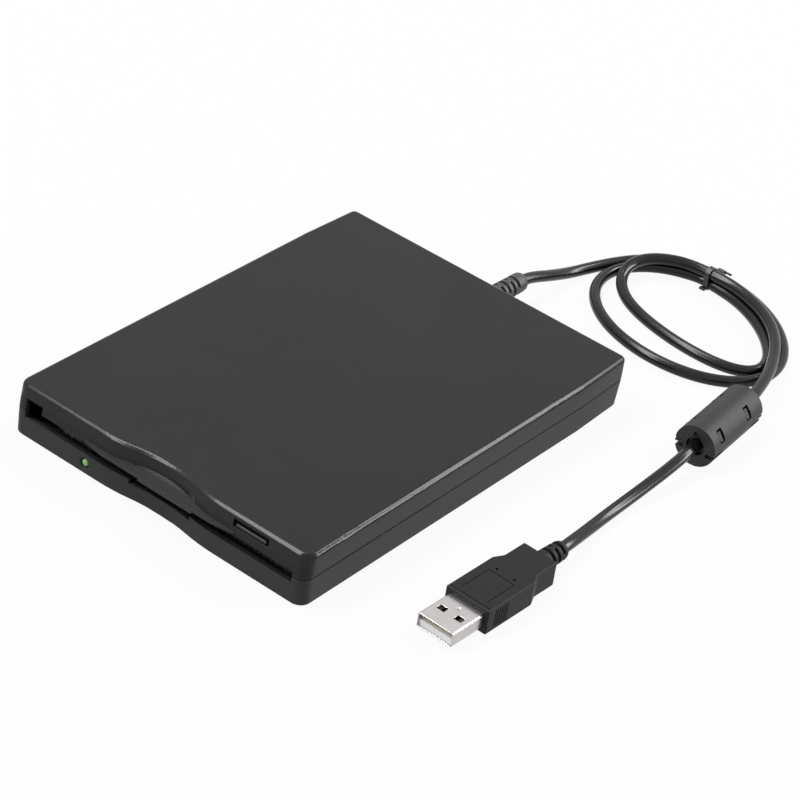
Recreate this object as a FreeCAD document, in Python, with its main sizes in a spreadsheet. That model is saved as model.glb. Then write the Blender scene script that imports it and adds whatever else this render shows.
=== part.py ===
"""External 3.5 inch floppy disk drive with a captive USB lead.

Millimetres, +Z up. X runs across the front (right is +X), Y runs from the disk slot
(-Y) to the cable (+Y). The origin is under the middle of the drive, on the table.
"""
import FreeCAD, Part
import math
import os
import Sketcher
from types import SimpleNamespace
from FreeCAD import Placement, Rotation, Vector

doc = FreeCAD.newDocument("floppy_drive")
sheet = doc.addObject("Spreadsheet::Sheet", "sizes")


# ---------------------------------------------------------------- sizes
class Size:
    """A size in mm or degrees: its number, and the sheet expression it is bound by."""

    def __init__(self, value, text):
        self.value = float(value)
        self.text = text

    def __add__(self, other):
        other = as_size(other)
        return Size(self.value + other.value, f"({self.text} + {other.text})")

    def __sub__(self, other):
        other = as_size(other)
        return Size(self.value - other.value, f"({self.text} - {other.text})")

    def __mul__(self, other):
        other = as_size(other)
        return Size(self.value * other.value, f"({self.text} * {other.text})")

    def __truediv__(self, other):
        other = as_size(other)
        return Size(self.value / other.value, f"({self.text} / {other.text})")

    def __radd__(self, other):
        return as_size(other) + self

    def __rsub__(self, other):
        return as_size(other) - self

    def __rmul__(self, other):
        return as_size(other) * self

    def __neg__(self):
        return Size(-self.value, f"(0 - {self.text})")


def as_size(value):
    return value if isinstance(value, Size) else Size(value, f"({float(value)})")


class Driving:
    """The sizes that can be set by themselves, in mm. Each one is a cell of the sheet."""

    # disk and the mechanism across the drive, from the disk outwards
    disk_width = 90.0
    disk_side_gap = 0.5
    holder_sheet = 0.55
    holder_slide_gap = 0.4
    slide_sheet = 0.6
    slide_chassis_gap = 0.45
    chassis_thickness = 0.8
    spring_room = 2.9
    case_wall = 1.8
    # along the drive, from the front to the rear
    front_room = 9.7
    holder_lead = 2.0
    spindle_setback = 43.0
    track_radius = 39.5
    head_size = 6.0
    head_arm_length = 31.5
    carriage_depth = 6.0
    carriage_travel = 14.8
    carriage_end_gap = 2.8
    bracket_gap = 2.6
    bracket_sheet = 1.2
    motor_plate = 1.0
    holder_end_gap = 1.6
    board_gap = 1.5
    bridge_board_depth = 11.5
    rear_gap = 2.3
    # upwards
    foot_height = 0.6
    floor_thickness = 1.7
    rib_height = 0.9
    holder_drop = 1.4
    holder_floor_gap = 0.2
    slot_step = 0.7
    slot_height = 3.45
    holder_inner_height = 4.2
    slide_above_holder = 1.0
    button_above_slide = 0.45
    button_height = 1.9
    button_window_gap = 0.2
    window_to_ceiling = 0.05
    top_thickness = 1.5
    seam_below_slot = 1.35
    # outside of the case
    front_corner_radius = 3.5
    rear_corner_radius = 2.0
    top_round = 1.5
    front_lean = 1.0
    rear_draft = 1.2
    rear_taper = 0.9
    rear_taper_length = 22.0
    origin_ahead = 0.3
    brow_reach = 1.7
    brow_left = -5.6
    brow_right = 14.3
    brow_shoulder = 1.0
    brow_shoulder_left = -19.6
    brow_shoulder_right = 21.0
    brow_run_out = 7.0
    scoop_middle = 0.9
    scoop_half_width = 21.0
    scoop_depth_top = 2.5
    scoop_depth_lip = 1.8
    scoop_ramp_rise = 2.2
    scoop_backing = 2.2
    slot_side_left = 4.3
    slot_side_right = 4.4
    slot_notch_width = 5.8
    slot_notch_rise = 2.4
    lip_depth = 5.0
    lip_crest_depth = 2.3
    finger_notch_left = -10.2
    finger_notch_right = 11.9
    finger_notch_depth = 1.35
    # feet and screws
    foot_recess = 0.5
    foot_radius = 4.0
    foot_inset_side = 10.0
    foot_inset_front = 14.7
    foot_inset_rear = 18.3
    case_screw_inset_side = 8.0
    case_screw_inset_rear = 7.3
    case_screw_radius = 1.1
    case_screw_head_radius = 2.2
    case_screw_head_height = 1.1
    case_screw_length = 9.0
    case_screw_play = 0.15
    case_boss_radius = 3.2
    case_post_height = 3.7
    chassis_screw_radius = 0.8
    chassis_screw_length = 1.9
    chassis_screw_head_radius = 1.8
    chassis_screw_head_height = 0.5
    chassis_screw_inset = 14.3
    chassis_screw_front = 6.0
    chassis_screw_rear = 2.0
    # sheet metal frame of the drive
    wall_above_slide = 0.9
    shield_thickness = 0.4
    shield_setback = 6.0
    shield_window_width = 22.0
    shield_window_length = 36.0
    # disk holder and eject slide
    holder_rail_width = 7.5
    hub_window_radius = 9.0
    hub_window_setback = 14.0
    pin_radius = 0.8
    pin_play = 0.25
    pin_below_top = 2.5
    front_pin_inset = 14.0
    rear_pin_inset = 12.0
    slide_travel = 4.0
    slide_top_width = 7.0
    slide_strip_depth = 8.0
    slide_skirt_gap = 0.8
    spring_radius = 1.0
    spring_length = 24.0
    spring_setback = 32.0
    spring_above_pin = 1.1
    spring_ear_reach = 2.5
    spring_ear_thickness = 1.0
    spring_ear_half_height = 1.3
    # eject button
    button_inset = 19.8
    button_width = 11.3
    button_play = 0.5
    button_out = 0.4
    button_cap_depth = 8.0
    button_stem_width = 5.5
    button_tab_width = 4.0
    # shutter lever
    lever_inset_side = 4.05
    lever_inset_rear = 6.0
    lever_reach = 22.0
    lever_rest_angle = 226.9
    lever_swing = 68.0
    lever_sheet = 0.5
    lever_gap = 0.1
    lever_width = 4.4
    lever_pin_radius = 1.0
    lever_pin_depth = 3.6
    lever_pivot_radius = 1.2
    # spindle and motor
    motor_hole_radius = 27.0
    stator_gap = 0.3
    stator_lift = 0.65
    stator_thickness = 0.4
    coil_height = 0.4
    coil_radius = 2.8
    coil_circle = 14.0
    coil_count = 9
    bearing_radius = 4.0
    bearing_height = 0.95
    shaft_radius = 1.5
    running_gap = 0.03
    rotor_radius = 21.0
    rotor_thickness = 0.5
    rotor_above_coils = 0.3
    magnet_width = 3.0
    magnet_height = 0.5
    hub_radius = 12.0
    hub_height = 1.2
    shaft_above_hub = 0.4
    drive_pin_radius = 1.0
    drive_pin_circle = 9.8
    # head carriage and its screw
    rail_inset = 4.0
    rail_above_chassis = 3.5
    rod_radius = 1.5
    screw_radius = 1.5
    screw_clearance = 0.25
    bracket_half_width = 3.0
    carriage_half_width = 17.0
    carriage_above_chassis = 0.5
    head_arm_half_width = 5.5
    lower_arm_thickness = 0.6
    lower_head_below_rail = 0.25
    upper_head_above_holder = 0.15
    arm_thickness = 0.8
    arm_pin_radius = 0.8
    arm_pin_above_carriage = 1.4
    arm_pin_inset = 1.6
    bush_wall = 0.8
    stepper_radius = 4.6
    stepper_length = 9.5
    # boards
    board_thickness = 0.8
    board_lift = 1.0
    board_side_gap = 2.3
    board_carriage_gap = 4.0
    board_front_gap = 3.5
    bridge_board_width = 29.0
    bridge_past_board = 12.0
    chip_height = 1.4
    # indicator light
    light_x = -25.8
    light_above_floor = 1.5
    light_radius = 1.2
    light_play = 0.1
    light_length = 6.0
    # lead
    cord_radius = 1.8
    wire_bundle_radius = 0.6
    relief_x = -1.0
    relief_below_seam = 1.35
    relief_length = 20.0
    relief_base_radius = 3.7
    relief_tip_radius = 2.5
    relief_play = 0.05
    relief_flange_radius = 5.0
    relief_flange_thickness = 1.2
    relief_rings = 5
    relief_groove_width = 1.1
    relief_groove_depth = 0.9
    # ferrite choke
    choke_length = 28.5
    choke_radius = 6.5
    choke_wall = 1.2
    choke_core_gap = 0.1
    choke_end_wall = 2.0
    # plug
    plug_shell_width = 12.0
    plug_shell_height = 4.5
    plug_shell_length = 12.5
    plug_shell_inside = 6.0
    plug_shell_sheet = 0.3
    plug_grip_width = 14.8
    plug_grip_height = 7.8
    plug_grip_length = 22.5
    plug_neck_width = 11.6
    plug_neck_length = 8.5
    plug_neck_slope = 3.2
    plug_boot_length = 10.0
    plug_boot_radius = 3.2
    plug_boot_tip_radius = 2.6
    plug_tongue_thickness = 1.9


def driving_sizes():
    """Each driving size by its name, bound to its own cell."""
    table = {name: value for name, value in vars(Driving).items() if not name.startswith("_")}
    for row, (name, value) in enumerate(table.items(), start=1):
        sheet.set(f"A{row}", name.replace("_", " "))
        sheet.set(f"B{row}", str(value))
        sheet.setAlias(f"B{row}", name)
    return {name: Size(value, f"sizes.{name}") for name, value in table.items()}


S = SimpleNamespace(**driving_sizes())


# ---------------------------------------------------------------- building helpers
def bind(obj, **properties):
    for name, size in properties.items():
        obj.setExpression(name, as_size(size).text)
        setattr(obj, name, as_size(size).value)


def put(obj, x, y, z):
    for axis, size in zip("xyz", (x, y, z)):
        obj.setExpression(f"Placement.Base.{axis}", as_size(size).text)


def box(name, x, y, z):
    """A block between the given pairs of coordinates."""
    obj = doc.addObject("Part::Box", name)
    bind(obj, Length=x[1] - x[0], Width=y[1] - y[0], Height=z[1] - z[0])
    put(obj, x[0], y[0], z[0])
    return obj


TURNS = {
    "x": Rotation(Vector(0, 1, 0), 90),
    "y": Rotation(Vector(1, 0, 0), -90),
    "z": Rotation(),
}


def rod(name, axis, radius, length, start):
    """A round bar along an axis from its start point."""
    obj = doc.addObject("Part::Cylinder", name)
    bind(obj, Radius=radius, Height=length)
    obj.Placement = Placement(Vector(), TURNS[axis])
    put(obj, *start)
    return obj


def cone(name, axis, radius_start, radius_end, length, start):
    obj = doc.addObject("Part::Cone", name)
    bind(obj, Radius1=radius_start, Radius2=radius_end, Height=length)
    obj.Placement = Placement(Vector(), TURNS[axis])
    put(obj, *start)
    return obj


def join(name, *pieces):
    obj = doc.addObject("Part::MultiFuse", name)
    obj.Shapes = list(pieces)
    obj.Refine = True
    return obj


def cut(name, base, *tools):
    """The base with every tool taken out of it."""
    obj = doc.addObject("Part::Cut", name)
    obj.Base = base
    obj.Tool = tools[0] if len(tools) == 1 else join(name + "_tools", *tools)
    obj.Refine = True
    return obj


def common(name, one, other):
    obj = doc.addObject("Part::Common", name)
    obj.Base = one
    obj.Tool = other
    return obj


def group(name, *pieces):
    """Separate identical solids kept in one node."""
    obj = doc.addObject("Part::Compound", name)
    obj.Links = list(pieces)
    return obj


PLANES = {
    "xy": Rotation(),
    "xz": Rotation(Vector(1, 0, 0), 90),
    "yz": Rotation(Vector(1, 1, 1), 120),
}
NORMALS = {"xy": "z", "xz": "y", "yz": "x"}


def draw(sketch, points, arcs):
    """A closed outline through the points. An arc, by the number of its edge, has a
    radius and bulges to the right (+1) or the left (-1) of its direction."""
    count = len(points)
    flat = [Vector(u.value, v.value, 0) for u, v in points]
    for edge in range(count):
        start = flat[edge]
        end = flat[(edge + 1) % count]
        if edge in arcs:
            radius, side = arcs[edge]
            chord = end - start
            across = Vector(chord.y, -chord.x, 0).normalize() * side
            depth = math.sqrt(radius.value ** 2 - (chord.Length / 2) ** 2)
            centre = (start + end) / 2 - across * depth
            first, last = (start - centre, end - centre)[::side]
            circle = Part.Circle(centre, Vector(0, 0, 1), radius.value)
            drawn = Part.ArcOfCircle(circle, math.atan2(first.y, first.x),
                                     math.atan2(last.y, last.x))
        else:
            drawn = Part.LineSegment(start, end)
        sketch.addGeometry(drawn)
    heads = []
    for edge in range(count):
        shape = sketch.Geometry[edge]
        first_at_start = (shape.StartPoint - flat[edge]).Length < 1e-6
        heads.append((1, 2) if first_at_start else (2, 1))
    for edge in range(count):
        following = (edge + 1) % count
        sketch.addConstraint(Sketcher.Constraint(
            "Coincident", edge, heads[edge][1], following, heads[following][0]))
    for edge, (u, v) in enumerate(points):
        for kind, size in (("DistanceX", u), ("DistanceY", v)):
            fixed = sketch.addConstraint(Sketcher.Constraint(
                kind, -1, 1, edge, heads[edge][0], size.value))
            sketch.setExpression(f"Constraints[{fixed}]", size.text)
    for edge, (radius, side) in arcs.items():
        fixed = sketch.addConstraint(Sketcher.Constraint("Radius", edge, radius.value))
        sketch.setExpression(f"Constraints[{fixed}]", radius.text)


def outline(name, plane, level, points, arcs=None):
    """A sketch parallel to an origin plane, at a level along that plane's normal axis."""
    sketch = doc.addObject("Sketcher::SketchObject", name)
    sketch.Placement = Placement(Vector(), PLANES[plane])
    sketch.setExpression(f"Placement.Base.{NORMALS[plane]}", as_size(level).text)
    draw(sketch, [(as_size(u), as_size(v)) for u, v in points], arcs or {})
    return sketch


def raised(name, sketch, direction):
    """The solid swept by a sketch along a vector whose parts are sizes."""
    obj = doc.addObject("Part::Extrusion", name)
    obj.Base = sketch
    obj.DirMode = "Custom"
    obj.Solid = True
    obj.LengthFwd = 0
    for axis, size in zip("xyz", direction):
        obj.setExpression(f"Dir.{axis}", as_size(size).text)
    return obj


def lofted(name, *sketches):
    obj = doc.addObject("Part::Loft", name)
    obj.Sections = list(sketches)
    obj.Solid = True
    obj.Ruled = True
    return obj


def rounded(name, base, radius, wanted):
    """The base with a fillet on each edge that the wanted function accepts."""
    doc.recompute()
    obj = doc.addObject("Part::Fillet", name)
    obj.Base = base
    obj.Edges = [(number, radius.value, radius.value)
                 for number, edge in enumerate(base.Shape.Edges, start=1) if wanted(edge)]
    return obj


def named(obj, label):
    obj.Label = label
    NODES.append(obj)
    return obj


NODES = []

# ---------------------------------------------------------------- shared places
# across, from the disk outwards
HOLDER_INNER_X = S.disk_width / 2 + S.disk_side_gap
HOLDER_X = HOLDER_INNER_X + S.holder_sheet
SLIDE_INNER_X = HOLDER_X + S.holder_slide_gap
SLIDE_X = SLIDE_INNER_X + S.slide_sheet
CHASSIS_X = SLIDE_X + S.slide_chassis_gap + S.chassis_thickness
INNER_X = CHASSIS_X + S.spring_room
HALF_WIDTH = INNER_X + S.case_wall
# along, measured from the front face of the lower lip
HEAD_FRONT_RUN = S.front_room + S.spindle_setback + S.track_radius - S.head_size / 2
CARRIAGE_REAR_RUN = HEAD_FRONT_RUN + S.head_arm_length
CHASSIS_REAR_RUN = CARRIAGE_REAR_RUN + S.carriage_end_gap + S.bracket_sheet + S.motor_plate
BRIDGE_REAR_RUN = CHASSIS_REAR_RUN + S.board_gap + S.bridge_board_depth
CASE_RUN = BRIDGE_REAR_RUN + S.rear_gap + S.case_wall + S.rear_draft
FRONT = S.origin_ahead - CASE_RUN / 2
REAR = FRONT + CASE_RUN
INNER_FRONT = FRONT + S.case_wall
CHASSIS_FRONT = FRONT + S.front_room
HOLDER_FRONT = CHASSIS_FRONT - S.holder_lead
SPINDLE_Y = CHASSIS_FRONT + S.spindle_setback
HEAD_FRONT = FRONT + HEAD_FRONT_RUN
CARRIAGE_REAR = FRONT + CARRIAGE_REAR_RUN
CARRIAGE_FRONT = CARRIAGE_REAR - S.carriage_depth
BRACKET_FRONT = CARRIAGE_FRONT - S.carriage_travel - S.bracket_gap
BRACKET_REAR = CARRIAGE_REAR + S.carriage_end_gap
CHASSIS_REAR = FRONT + CHASSIS_REAR_RUN
HOLDER_REAR = BRACKET_FRONT - S.holder_end_gap
BRIDGE_REAR = FRONT + BRIDGE_REAR_RUN
INNER_REAR = BRIDGE_REAR + S.rear_gap
FRONT_PIN_Y = HOLDER_FRONT + S.front_pin_inset
REAR_PIN_Y = HOLDER_REAR - S.rear_pin_inset
SPRING_FRONT = CHASSIS_FRONT + S.spring_setback
SPRING_REAR = SPRING_FRONT + S.spring_length
# upwards
FLOOR = S.foot_height + S.floor_thickness
CHASSIS_FLOOR = FLOOR + S.rib_height
CHASSIS_TOP = CHASSIS_FLOOR + S.chassis_thickness
RAIL_TOP = CHASSIS_TOP + S.holder_drop + S.holder_floor_gap + S.holder_sheet
SLOT_FLOOR = RAIL_TOP + S.slot_step
SLOT_TOP = SLOT_FLOOR + S.slot_height
SEAM = SLOT_TOP - S.seam_below_slot
HOLDER_CEILING = RAIL_TOP + S.holder_inner_height
HOLDER_TOP = HOLDER_CEILING + S.holder_sheet
PIN_HEIGHT = HOLDER_TOP - S.pin_below_top
SLIDE_FLOOR = HOLDER_TOP + S.slide_above_holder
SLIDE_TOP = SLIDE_FLOOR + S.slide_sheet
WALL_TOP = SLIDE_TOP + S.wall_above_slide
BUTTON_FLOOR = SLIDE_TOP + S.button_above_slide
BUTTON_TOP = BUTTON_FLOOR + S.button_height
CEILING = BUTTON_TOP + S.button_window_gap + S.window_to_ceiling
CASE_TOP = CEILING + S.top_thickness
SCOOP_RAMP_TOP = SLOT_TOP + S.scoop_ramp_rise
SPRING_HEIGHT = PIN_HEIGHT + S.spring_above_pin
BOSS_SPLIT = FLOOR + S.case_post_height
RELIEF_HEIGHT = SEAM - S.relief_below_seam
LIGHT_HEIGHT = FLOOR + S.light_above_floor
# features placed from the sides
SLOT_LEFT = S.slot_side_left - HALF_WIDTH
SLOT_RIGHT = HALF_WIDTH - S.slot_side_right
CASE_SCREW_X = HALF_WIDTH - S.case_screw_inset_side
CASE_SCREW_Y = INNER_REAR - S.case_screw_inset_rear
CHASSIS_SCREW_X = CHASSIS_X - S.chassis_screw_inset
BUTTON_X = HALF_WIDTH - S.button_inset
LEVER_X = HOLDER_X - S.lever_inset_side
LEVER_Y = HOLDER_REAR - S.lever_inset_rear
# head carriage
RAIL_X = S.carriage_half_width - S.rail_inset
RAIL_HEIGHT = CHASSIS_TOP + S.rail_above_chassis
ARM_PIN_HEIGHT = HOLDER_TOP + S.arm_thickness / 2
CARRIAGE_TOP = ARM_PIN_HEIGHT - S.arm_pin_above_carriage
CARRIAGE_FLOOR = CHASSIS_TOP + S.carriage_above_chassis
SHIELD_BAND_X = S.carriage_half_width - 3
# boards
BOARD_HEIGHT = CHASSIS_TOP + S.board_lift
BOARD_LEFT = S.board_side_gap - CHASSIS_X
BOARD_RIGHT = -S.carriage_half_width - S.board_carriage_gap
BOARD_FRONT = HOLDER_REAR + S.board_front_gap
BOARD_REAR = BRACKET_REAR - 0.3
BRIDGE_RIGHT = BOARD_RIGHT + S.bridge_past_board
BRIDGE_LEFT = BRIDGE_RIGHT - S.bridge_board_width
BRIDGE_FRONT = CHASSIS_REAR + S.board_gap


def case_outline(name, level, front, rear, inset):
    """The case seen from above, with its sides drawn in towards the rear corners."""
    side = HALF_WIDTH - inset
    shoulder = REAR - S.rear_taper_length
    points = [
        (-side, front), (side, front), (side, shoulder), (side - S.rear_taper, rear),
        (S.rear_taper - side, rear), (-side, shoulder),
    ]
    return outline(name, "xy", level, points)


def wave_outline(name, level, front, depth):
    """A shallow finger scoop in plan: three equal arcs, swinging in and out again."""
    half = S.scoop_half_width
    quarter = half / 2
    rise = depth / 2
    radius = (quarter * quarter + rise * rise) / depth
    beyond = front - 3
    middle = S.scoop_middle
    points = [
        (middle - half, front), (middle - half, beyond), (middle + half, beyond),
        (middle + half, front), (middle + quarter, front + rise), (middle - quarter, front + rise),
    ]
    arcs = {3: (radius, -1), 4: (radius, 1), 5: (radius, -1)}
    return outline(name, "xy", level, points, arcs)


def upright(edge):
    low, high = sorted(vertex.Z for vertex in edge.Vertexes)
    return high - low > 1 and len(edge.Vertexes) == 2


def front_corner(edge):
    return upright(edge) and all(vertex.Y < (FRONT + 3).value for vertex in edge.Vertexes)


def rear_corner(edge):
    return upright(edge) and all(vertex.Y > (REAR - 3).value for vertex in edge.Vertexes)


def round_corners(name, block):
    """The block with its four upright corners rounded, the rear ones tighter."""
    front = rounded(f"{name}_front", block, S.front_corner_radius, front_corner)
    return rounded(name, front, S.rear_corner_radius, rear_corner)


# ---------------------------------------------------------------- case
def make_top_cover():
    low = case_outline("cover_low", SEAM, FRONT, REAR, 0)
    high = case_outline("cover_high", CASE_TOP, FRONT + S.front_lean, REAR, 0)
    block = round_corners("cover_block", lofted("cover_loft", low, high))

    # finger scoop: a wavy wall that follows the lean of the front, above a sloping brow
    lean_rate = S.front_lean / (CASE_TOP - SEAM)
    above = 1.0
    wave = wave_outline("scoop_plan", CASE_TOP + above,
                        FRONT + S.front_lean + lean_rate * above, S.scoop_depth_top)
    drop = CASE_TOP + above - SLOT_TOP
    prism = raised("scoop_prism", wave, (0, -lean_rate * drop, -drop))
    brow_edge = FRONT - S.brow_reach
    wall_foot = FRONT + S.scoop_depth_top + lean_rate * (SCOOP_RAMP_TOP - SEAM)
    slope = (SCOOP_RAMP_TOP - SLOT_TOP) / (wall_foot - brow_edge)
    beyond = wall_foot + 3
    over_ramp = outline("scoop_side", "yz", S.scoop_middle - S.scoop_half_width - 1, [
        (brow_edge, SLOT_TOP), (beyond, SCOOP_RAMP_TOP + slope * 3),
        (beyond, CASE_TOP + 2), (brow_edge - 3, CASE_TOP + 2), (brow_edge - 3, SLOT_TOP),
    ])
    wedge = raised("scoop_wedge", over_ramp, (S.scoop_half_width * 2 + 2, 0, 0))
    scoop = common("scoop", prism, wedge)

    # the brow overhangs the lip a little, so that a finger finds the disk
    brow_root = FRONT + 1.0
    brow_start = S.brow_shoulder_left - S.brow_run_out
    brow_end = S.brow_shoulder_right + S.brow_run_out
    brow_side = outline("brow_side", "yz", brow_start, [
        (brow_edge, SLOT_TOP), (brow_root, SLOT_TOP),
        (brow_root, SLOT_TOP + slope * (brow_root - brow_edge)),
    ])
    brow_bar = raised("brow_bar", brow_side, (brow_end - brow_start, 0, 0))
    shoulder = FRONT - S.brow_shoulder
    brow_plan = outline("brow_plan", "xy", SLOT_TOP - 1, [
        (brow_start, FRONT), (S.brow_shoulder_left, shoulder), (S.brow_left, shoulder),
        (S.brow_left, brow_edge), (S.brow_right, brow_edge), (S.brow_right, shoulder),
        (S.brow_shoulder_right, shoulder), (brow_end, FRONT), (brow_end, brow_root + 1),
        (brow_start, brow_root + 1),
    ])
    brow = common("brow", brow_bar, raised("brow_plan_block", brow_plan, (0, 0, 5)))

    carved = cut("cover_carved", block, scoop)
    rim = rounded("cover_rim", carved, S.top_round, on_top_face)
    skin = join("cover_skin", rim, brow)

    cavity_plan = case_outline("cover_cavity_plan", SEAM - 1, INNER_FRONT, REAR - S.case_wall,
                               S.case_wall)
    hollow = raised("cover_hollow", cavity_plan, (0, 0, CEILING - SEAM + 1))
    backing = box("scoop_backing_block",
                  (S.scoop_middle - S.scoop_half_width - S.case_wall,
                   S.scoop_middle + S.scoop_half_width + S.case_wall),
                  (INNER_FRONT - 0.1, FRONT + S.scoop_depth_top + S.scoop_backing),
                  (SLOT_TOP, CEILING + 0.1))
    cavity = cut("cover_cavity", hollow, backing)

    slot = box("cover_slot", (SLOT_LEFT, SLOT_RIGHT), (FRONT - 3, INNER_FRONT + 0.5),
               (SEAM - 1, SLOT_TOP))
    notch = box("cover_slot_notch", (SLOT_LEFT, SLOT_LEFT + S.slot_notch_width),
                (FRONT - 3, INNER_FRONT + 0.5), (SEAM - 1, SLOT_TOP + S.slot_notch_rise))
    window_half = S.button_width / 2 + S.button_play
    window = box("button_window", (BUTTON_X - window_half, BUTTON_X + window_half),
                 (FRONT - 3, FRONT + S.scoop_depth_top + S.scoop_backing + 1),
                 (BUTTON_FLOOR - S.button_window_gap, BUTTON_TOP + S.button_window_gap))
    cable_hole = rod("cover_cable_hole", "y", S.relief_base_radius + S.relief_play, 6,
                     (S.relief_x, REAR - 4, RELIEF_HEIGHT))
    shell = cut("cover_shell", skin, cavity, slot, notch, window, cable_hole)

    bosses = []
    pilots = []
    for side in (-1, 1):
        x = CASE_SCREW_X * side
        bosses.append(rod(f"cover_boss_{side + 2}", "z", S.case_boss_radius,
                          CEILING - BOSS_SPLIT + 0.2, (x, CASE_SCREW_Y, BOSS_SPLIT)))
        pilots.append(rod(f"cover_pilot_{side + 2}", "z", S.case_screw_radius,
                          S.case_screw_length + 1, (x, CASE_SCREW_Y, S.foot_height)))
    return named(cut("top_cover", join("cover_with_bosses", shell, *bosses), *pilots), "top_cover")


def on_top_face(edge):
    top = CASE_TOP.value
    return all(abs(vertex.Z - top) < 1e-4 for vertex in edge.Vertexes)


def make_bottom_case():
    low = case_outline("case_low", S.foot_height, FRONT, REAR - S.rear_draft, 0)
    high = case_outline("case_high", SEAM, FRONT, REAR, 0)
    block = round_corners("case_block", lofted("case_loft", low, high))
    cavity_plan = case_outline("case_cavity_plan", FLOOR, INNER_FRONT, INNER_REAR, S.case_wall)
    hollow = raised("case_hollow", cavity_plan, (0, 0, SEAM - FLOOR + 1))
    # a low sill behind the lip, clear of a disk that has gone down, and a crest that it passes over
    lip_block = box("lip_block", (-INNER_X - 0.1, INNER_X + 0.1), (INNER_FRONT - 0.1, FRONT + S.lip_depth),
                    (FLOOR - 0.1, RAIL_TOP - S.holder_drop - 0.1))
    lip_crest = box("lip_crest", (-INNER_X - 0.1, INNER_X + 0.1),
                    (INNER_FRONT - 0.1, FRONT + S.lip_crest_depth), (FLOOR - 0.1, SLOT_FLOOR))
    cavity = cut("case_cavity", hollow, lip_block, lip_crest)
    slot = box("case_slot", (SLOT_LEFT, SLOT_RIGHT), (FRONT - 1, FRONT + S.lip_depth + 1),
               (SLOT_FLOOR, SEAM + 1))
    scoop_plan = wave_outline("lip_scoop_plan", S.foot_height - 1, FRONT, S.scoop_depth_lip)
    scoop = raised("lip_scoop", scoop_plan, (0, 0, SEAM - S.foot_height + 2))
    finger_notch = box("finger_notch", (S.finger_notch_left, S.finger_notch_right),
                       (FRONT - 1, FRONT + S.lip_depth + 1),
                       (SLOT_FLOOR - S.finger_notch_depth, SLOT_FLOOR + 1))
    light_hole = rod("light_hole", "y", S.light_radius + S.light_play, S.lip_depth + 2,
                     (S.light_x, FRONT - 1, LIGHT_HEIGHT))
    cable_hole = rod("case_cable_hole", "y", S.relief_base_radius + S.relief_play, 8,
                     (S.relief_x, REAR - 6, RELIEF_HEIGHT))
    recesses = [rod(f"foot_recess_{n}", "z", S.foot_radius, S.foot_recess + 1,
                    (x, y, S.foot_height - 1)) for n, (x, y) in enumerate(foot_places())]
    shell = cut("case_shell", block, cavity, slot, scoop, finger_notch, light_hole, cable_hole, *recesses)

    posts = []
    holes = []
    for side in (-1, 1):
        x = CASE_SCREW_X * side
        posts.append(rod(f"case_post_{side + 2}", "z", S.case_boss_radius,
                         BOSS_SPLIT - FLOOR + 0.1, (x, CASE_SCREW_Y, FLOOR - 0.1)))
        holes.append(rod(f"case_screw_hole_{side + 2}", "z", S.case_screw_radius + S.case_screw_play,
                         BOSS_SPLIT, (x, CASE_SCREW_Y, S.foot_height - 0.5)))
        holes.append(rod(f"case_screw_sink_{side + 2}", "z", S.case_screw_head_radius + S.case_screw_play,
                         S.case_screw_head_height + 1, (x, CASE_SCREW_Y, S.foot_height - 1)))
    for n, (x, y) in enumerate(chassis_screw_places()):
        posts.append(rod(f"chassis_post_{n}", "z", 3, S.rib_height + 0.1, (x, y, FLOOR - 0.1)))
        holes.append(rod(f"chassis_pilot_{n}", "z", S.chassis_screw_radius, S.chassis_screw_length + 1,
                         (x, y, CHASSIS_TOP - S.chassis_screw_length - 0.1)))
    for n, (x, y) in enumerate(bridge_screw_places()):
        posts.append(rod(f"bridge_post_{n}", "z", 2, BOARD_HEIGHT - FLOOR + 0.1, (x, y, FLOOR - 0.1)))
    return named(cut("bottom_case", join("case_with_posts", shell, *posts), *holes), "bottom_case")


def foot_places():
    x = HALF_WIDTH - S.foot_inset_side
    rows = (FRONT + S.foot_inset_front, REAR - S.foot_inset_rear)
    return [(x * side, y) for y in rows for side in (-1, 1)]


def chassis_screw_places():
    rows = (CHASSIS_FRONT + S.chassis_screw_front, HOLDER_REAR - S.chassis_screw_rear)
    return [(CHASSIS_SCREW_X * side, y) for y in rows for side in (-1, 1)]


def bridge_screw_places():
    inset = 3.0
    y = BRIDGE_REAR - inset
    return [(BRIDGE_LEFT + inset, y), (BRIDGE_RIGHT - inset, y)]


def make_feet():
    feet = [rod(f"foot_{n}", "z", S.foot_radius, S.foot_height + S.foot_recess, (x, y, 0))
            for n, (x, y) in enumerate(foot_places())]
    return named(group("rubber_feet", *feet), "rubber_feet")


def make_case_screws():
    screws = []
    for side in (-1, 1):
        x = CASE_SCREW_X * side
        seat = S.foot_height + S.case_screw_head_height
        head = rod(f"case_screw_head_{side + 2}", "z", S.case_screw_head_radius,
                   S.case_screw_head_height - 0.2, (x, CASE_SCREW_Y, S.foot_height + 0.2))
        shank = rod(f"case_screw_shank_{side + 2}", "z", S.case_screw_radius,
                    S.case_screw_length - S.case_screw_head_height,
                    (x, CASE_SCREW_Y, seat - 0.1))
        screws.append(join(f"case_screw_{side + 2}", head, shank))
    return named(group("case_screws", *screws), "case_screws")


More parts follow.
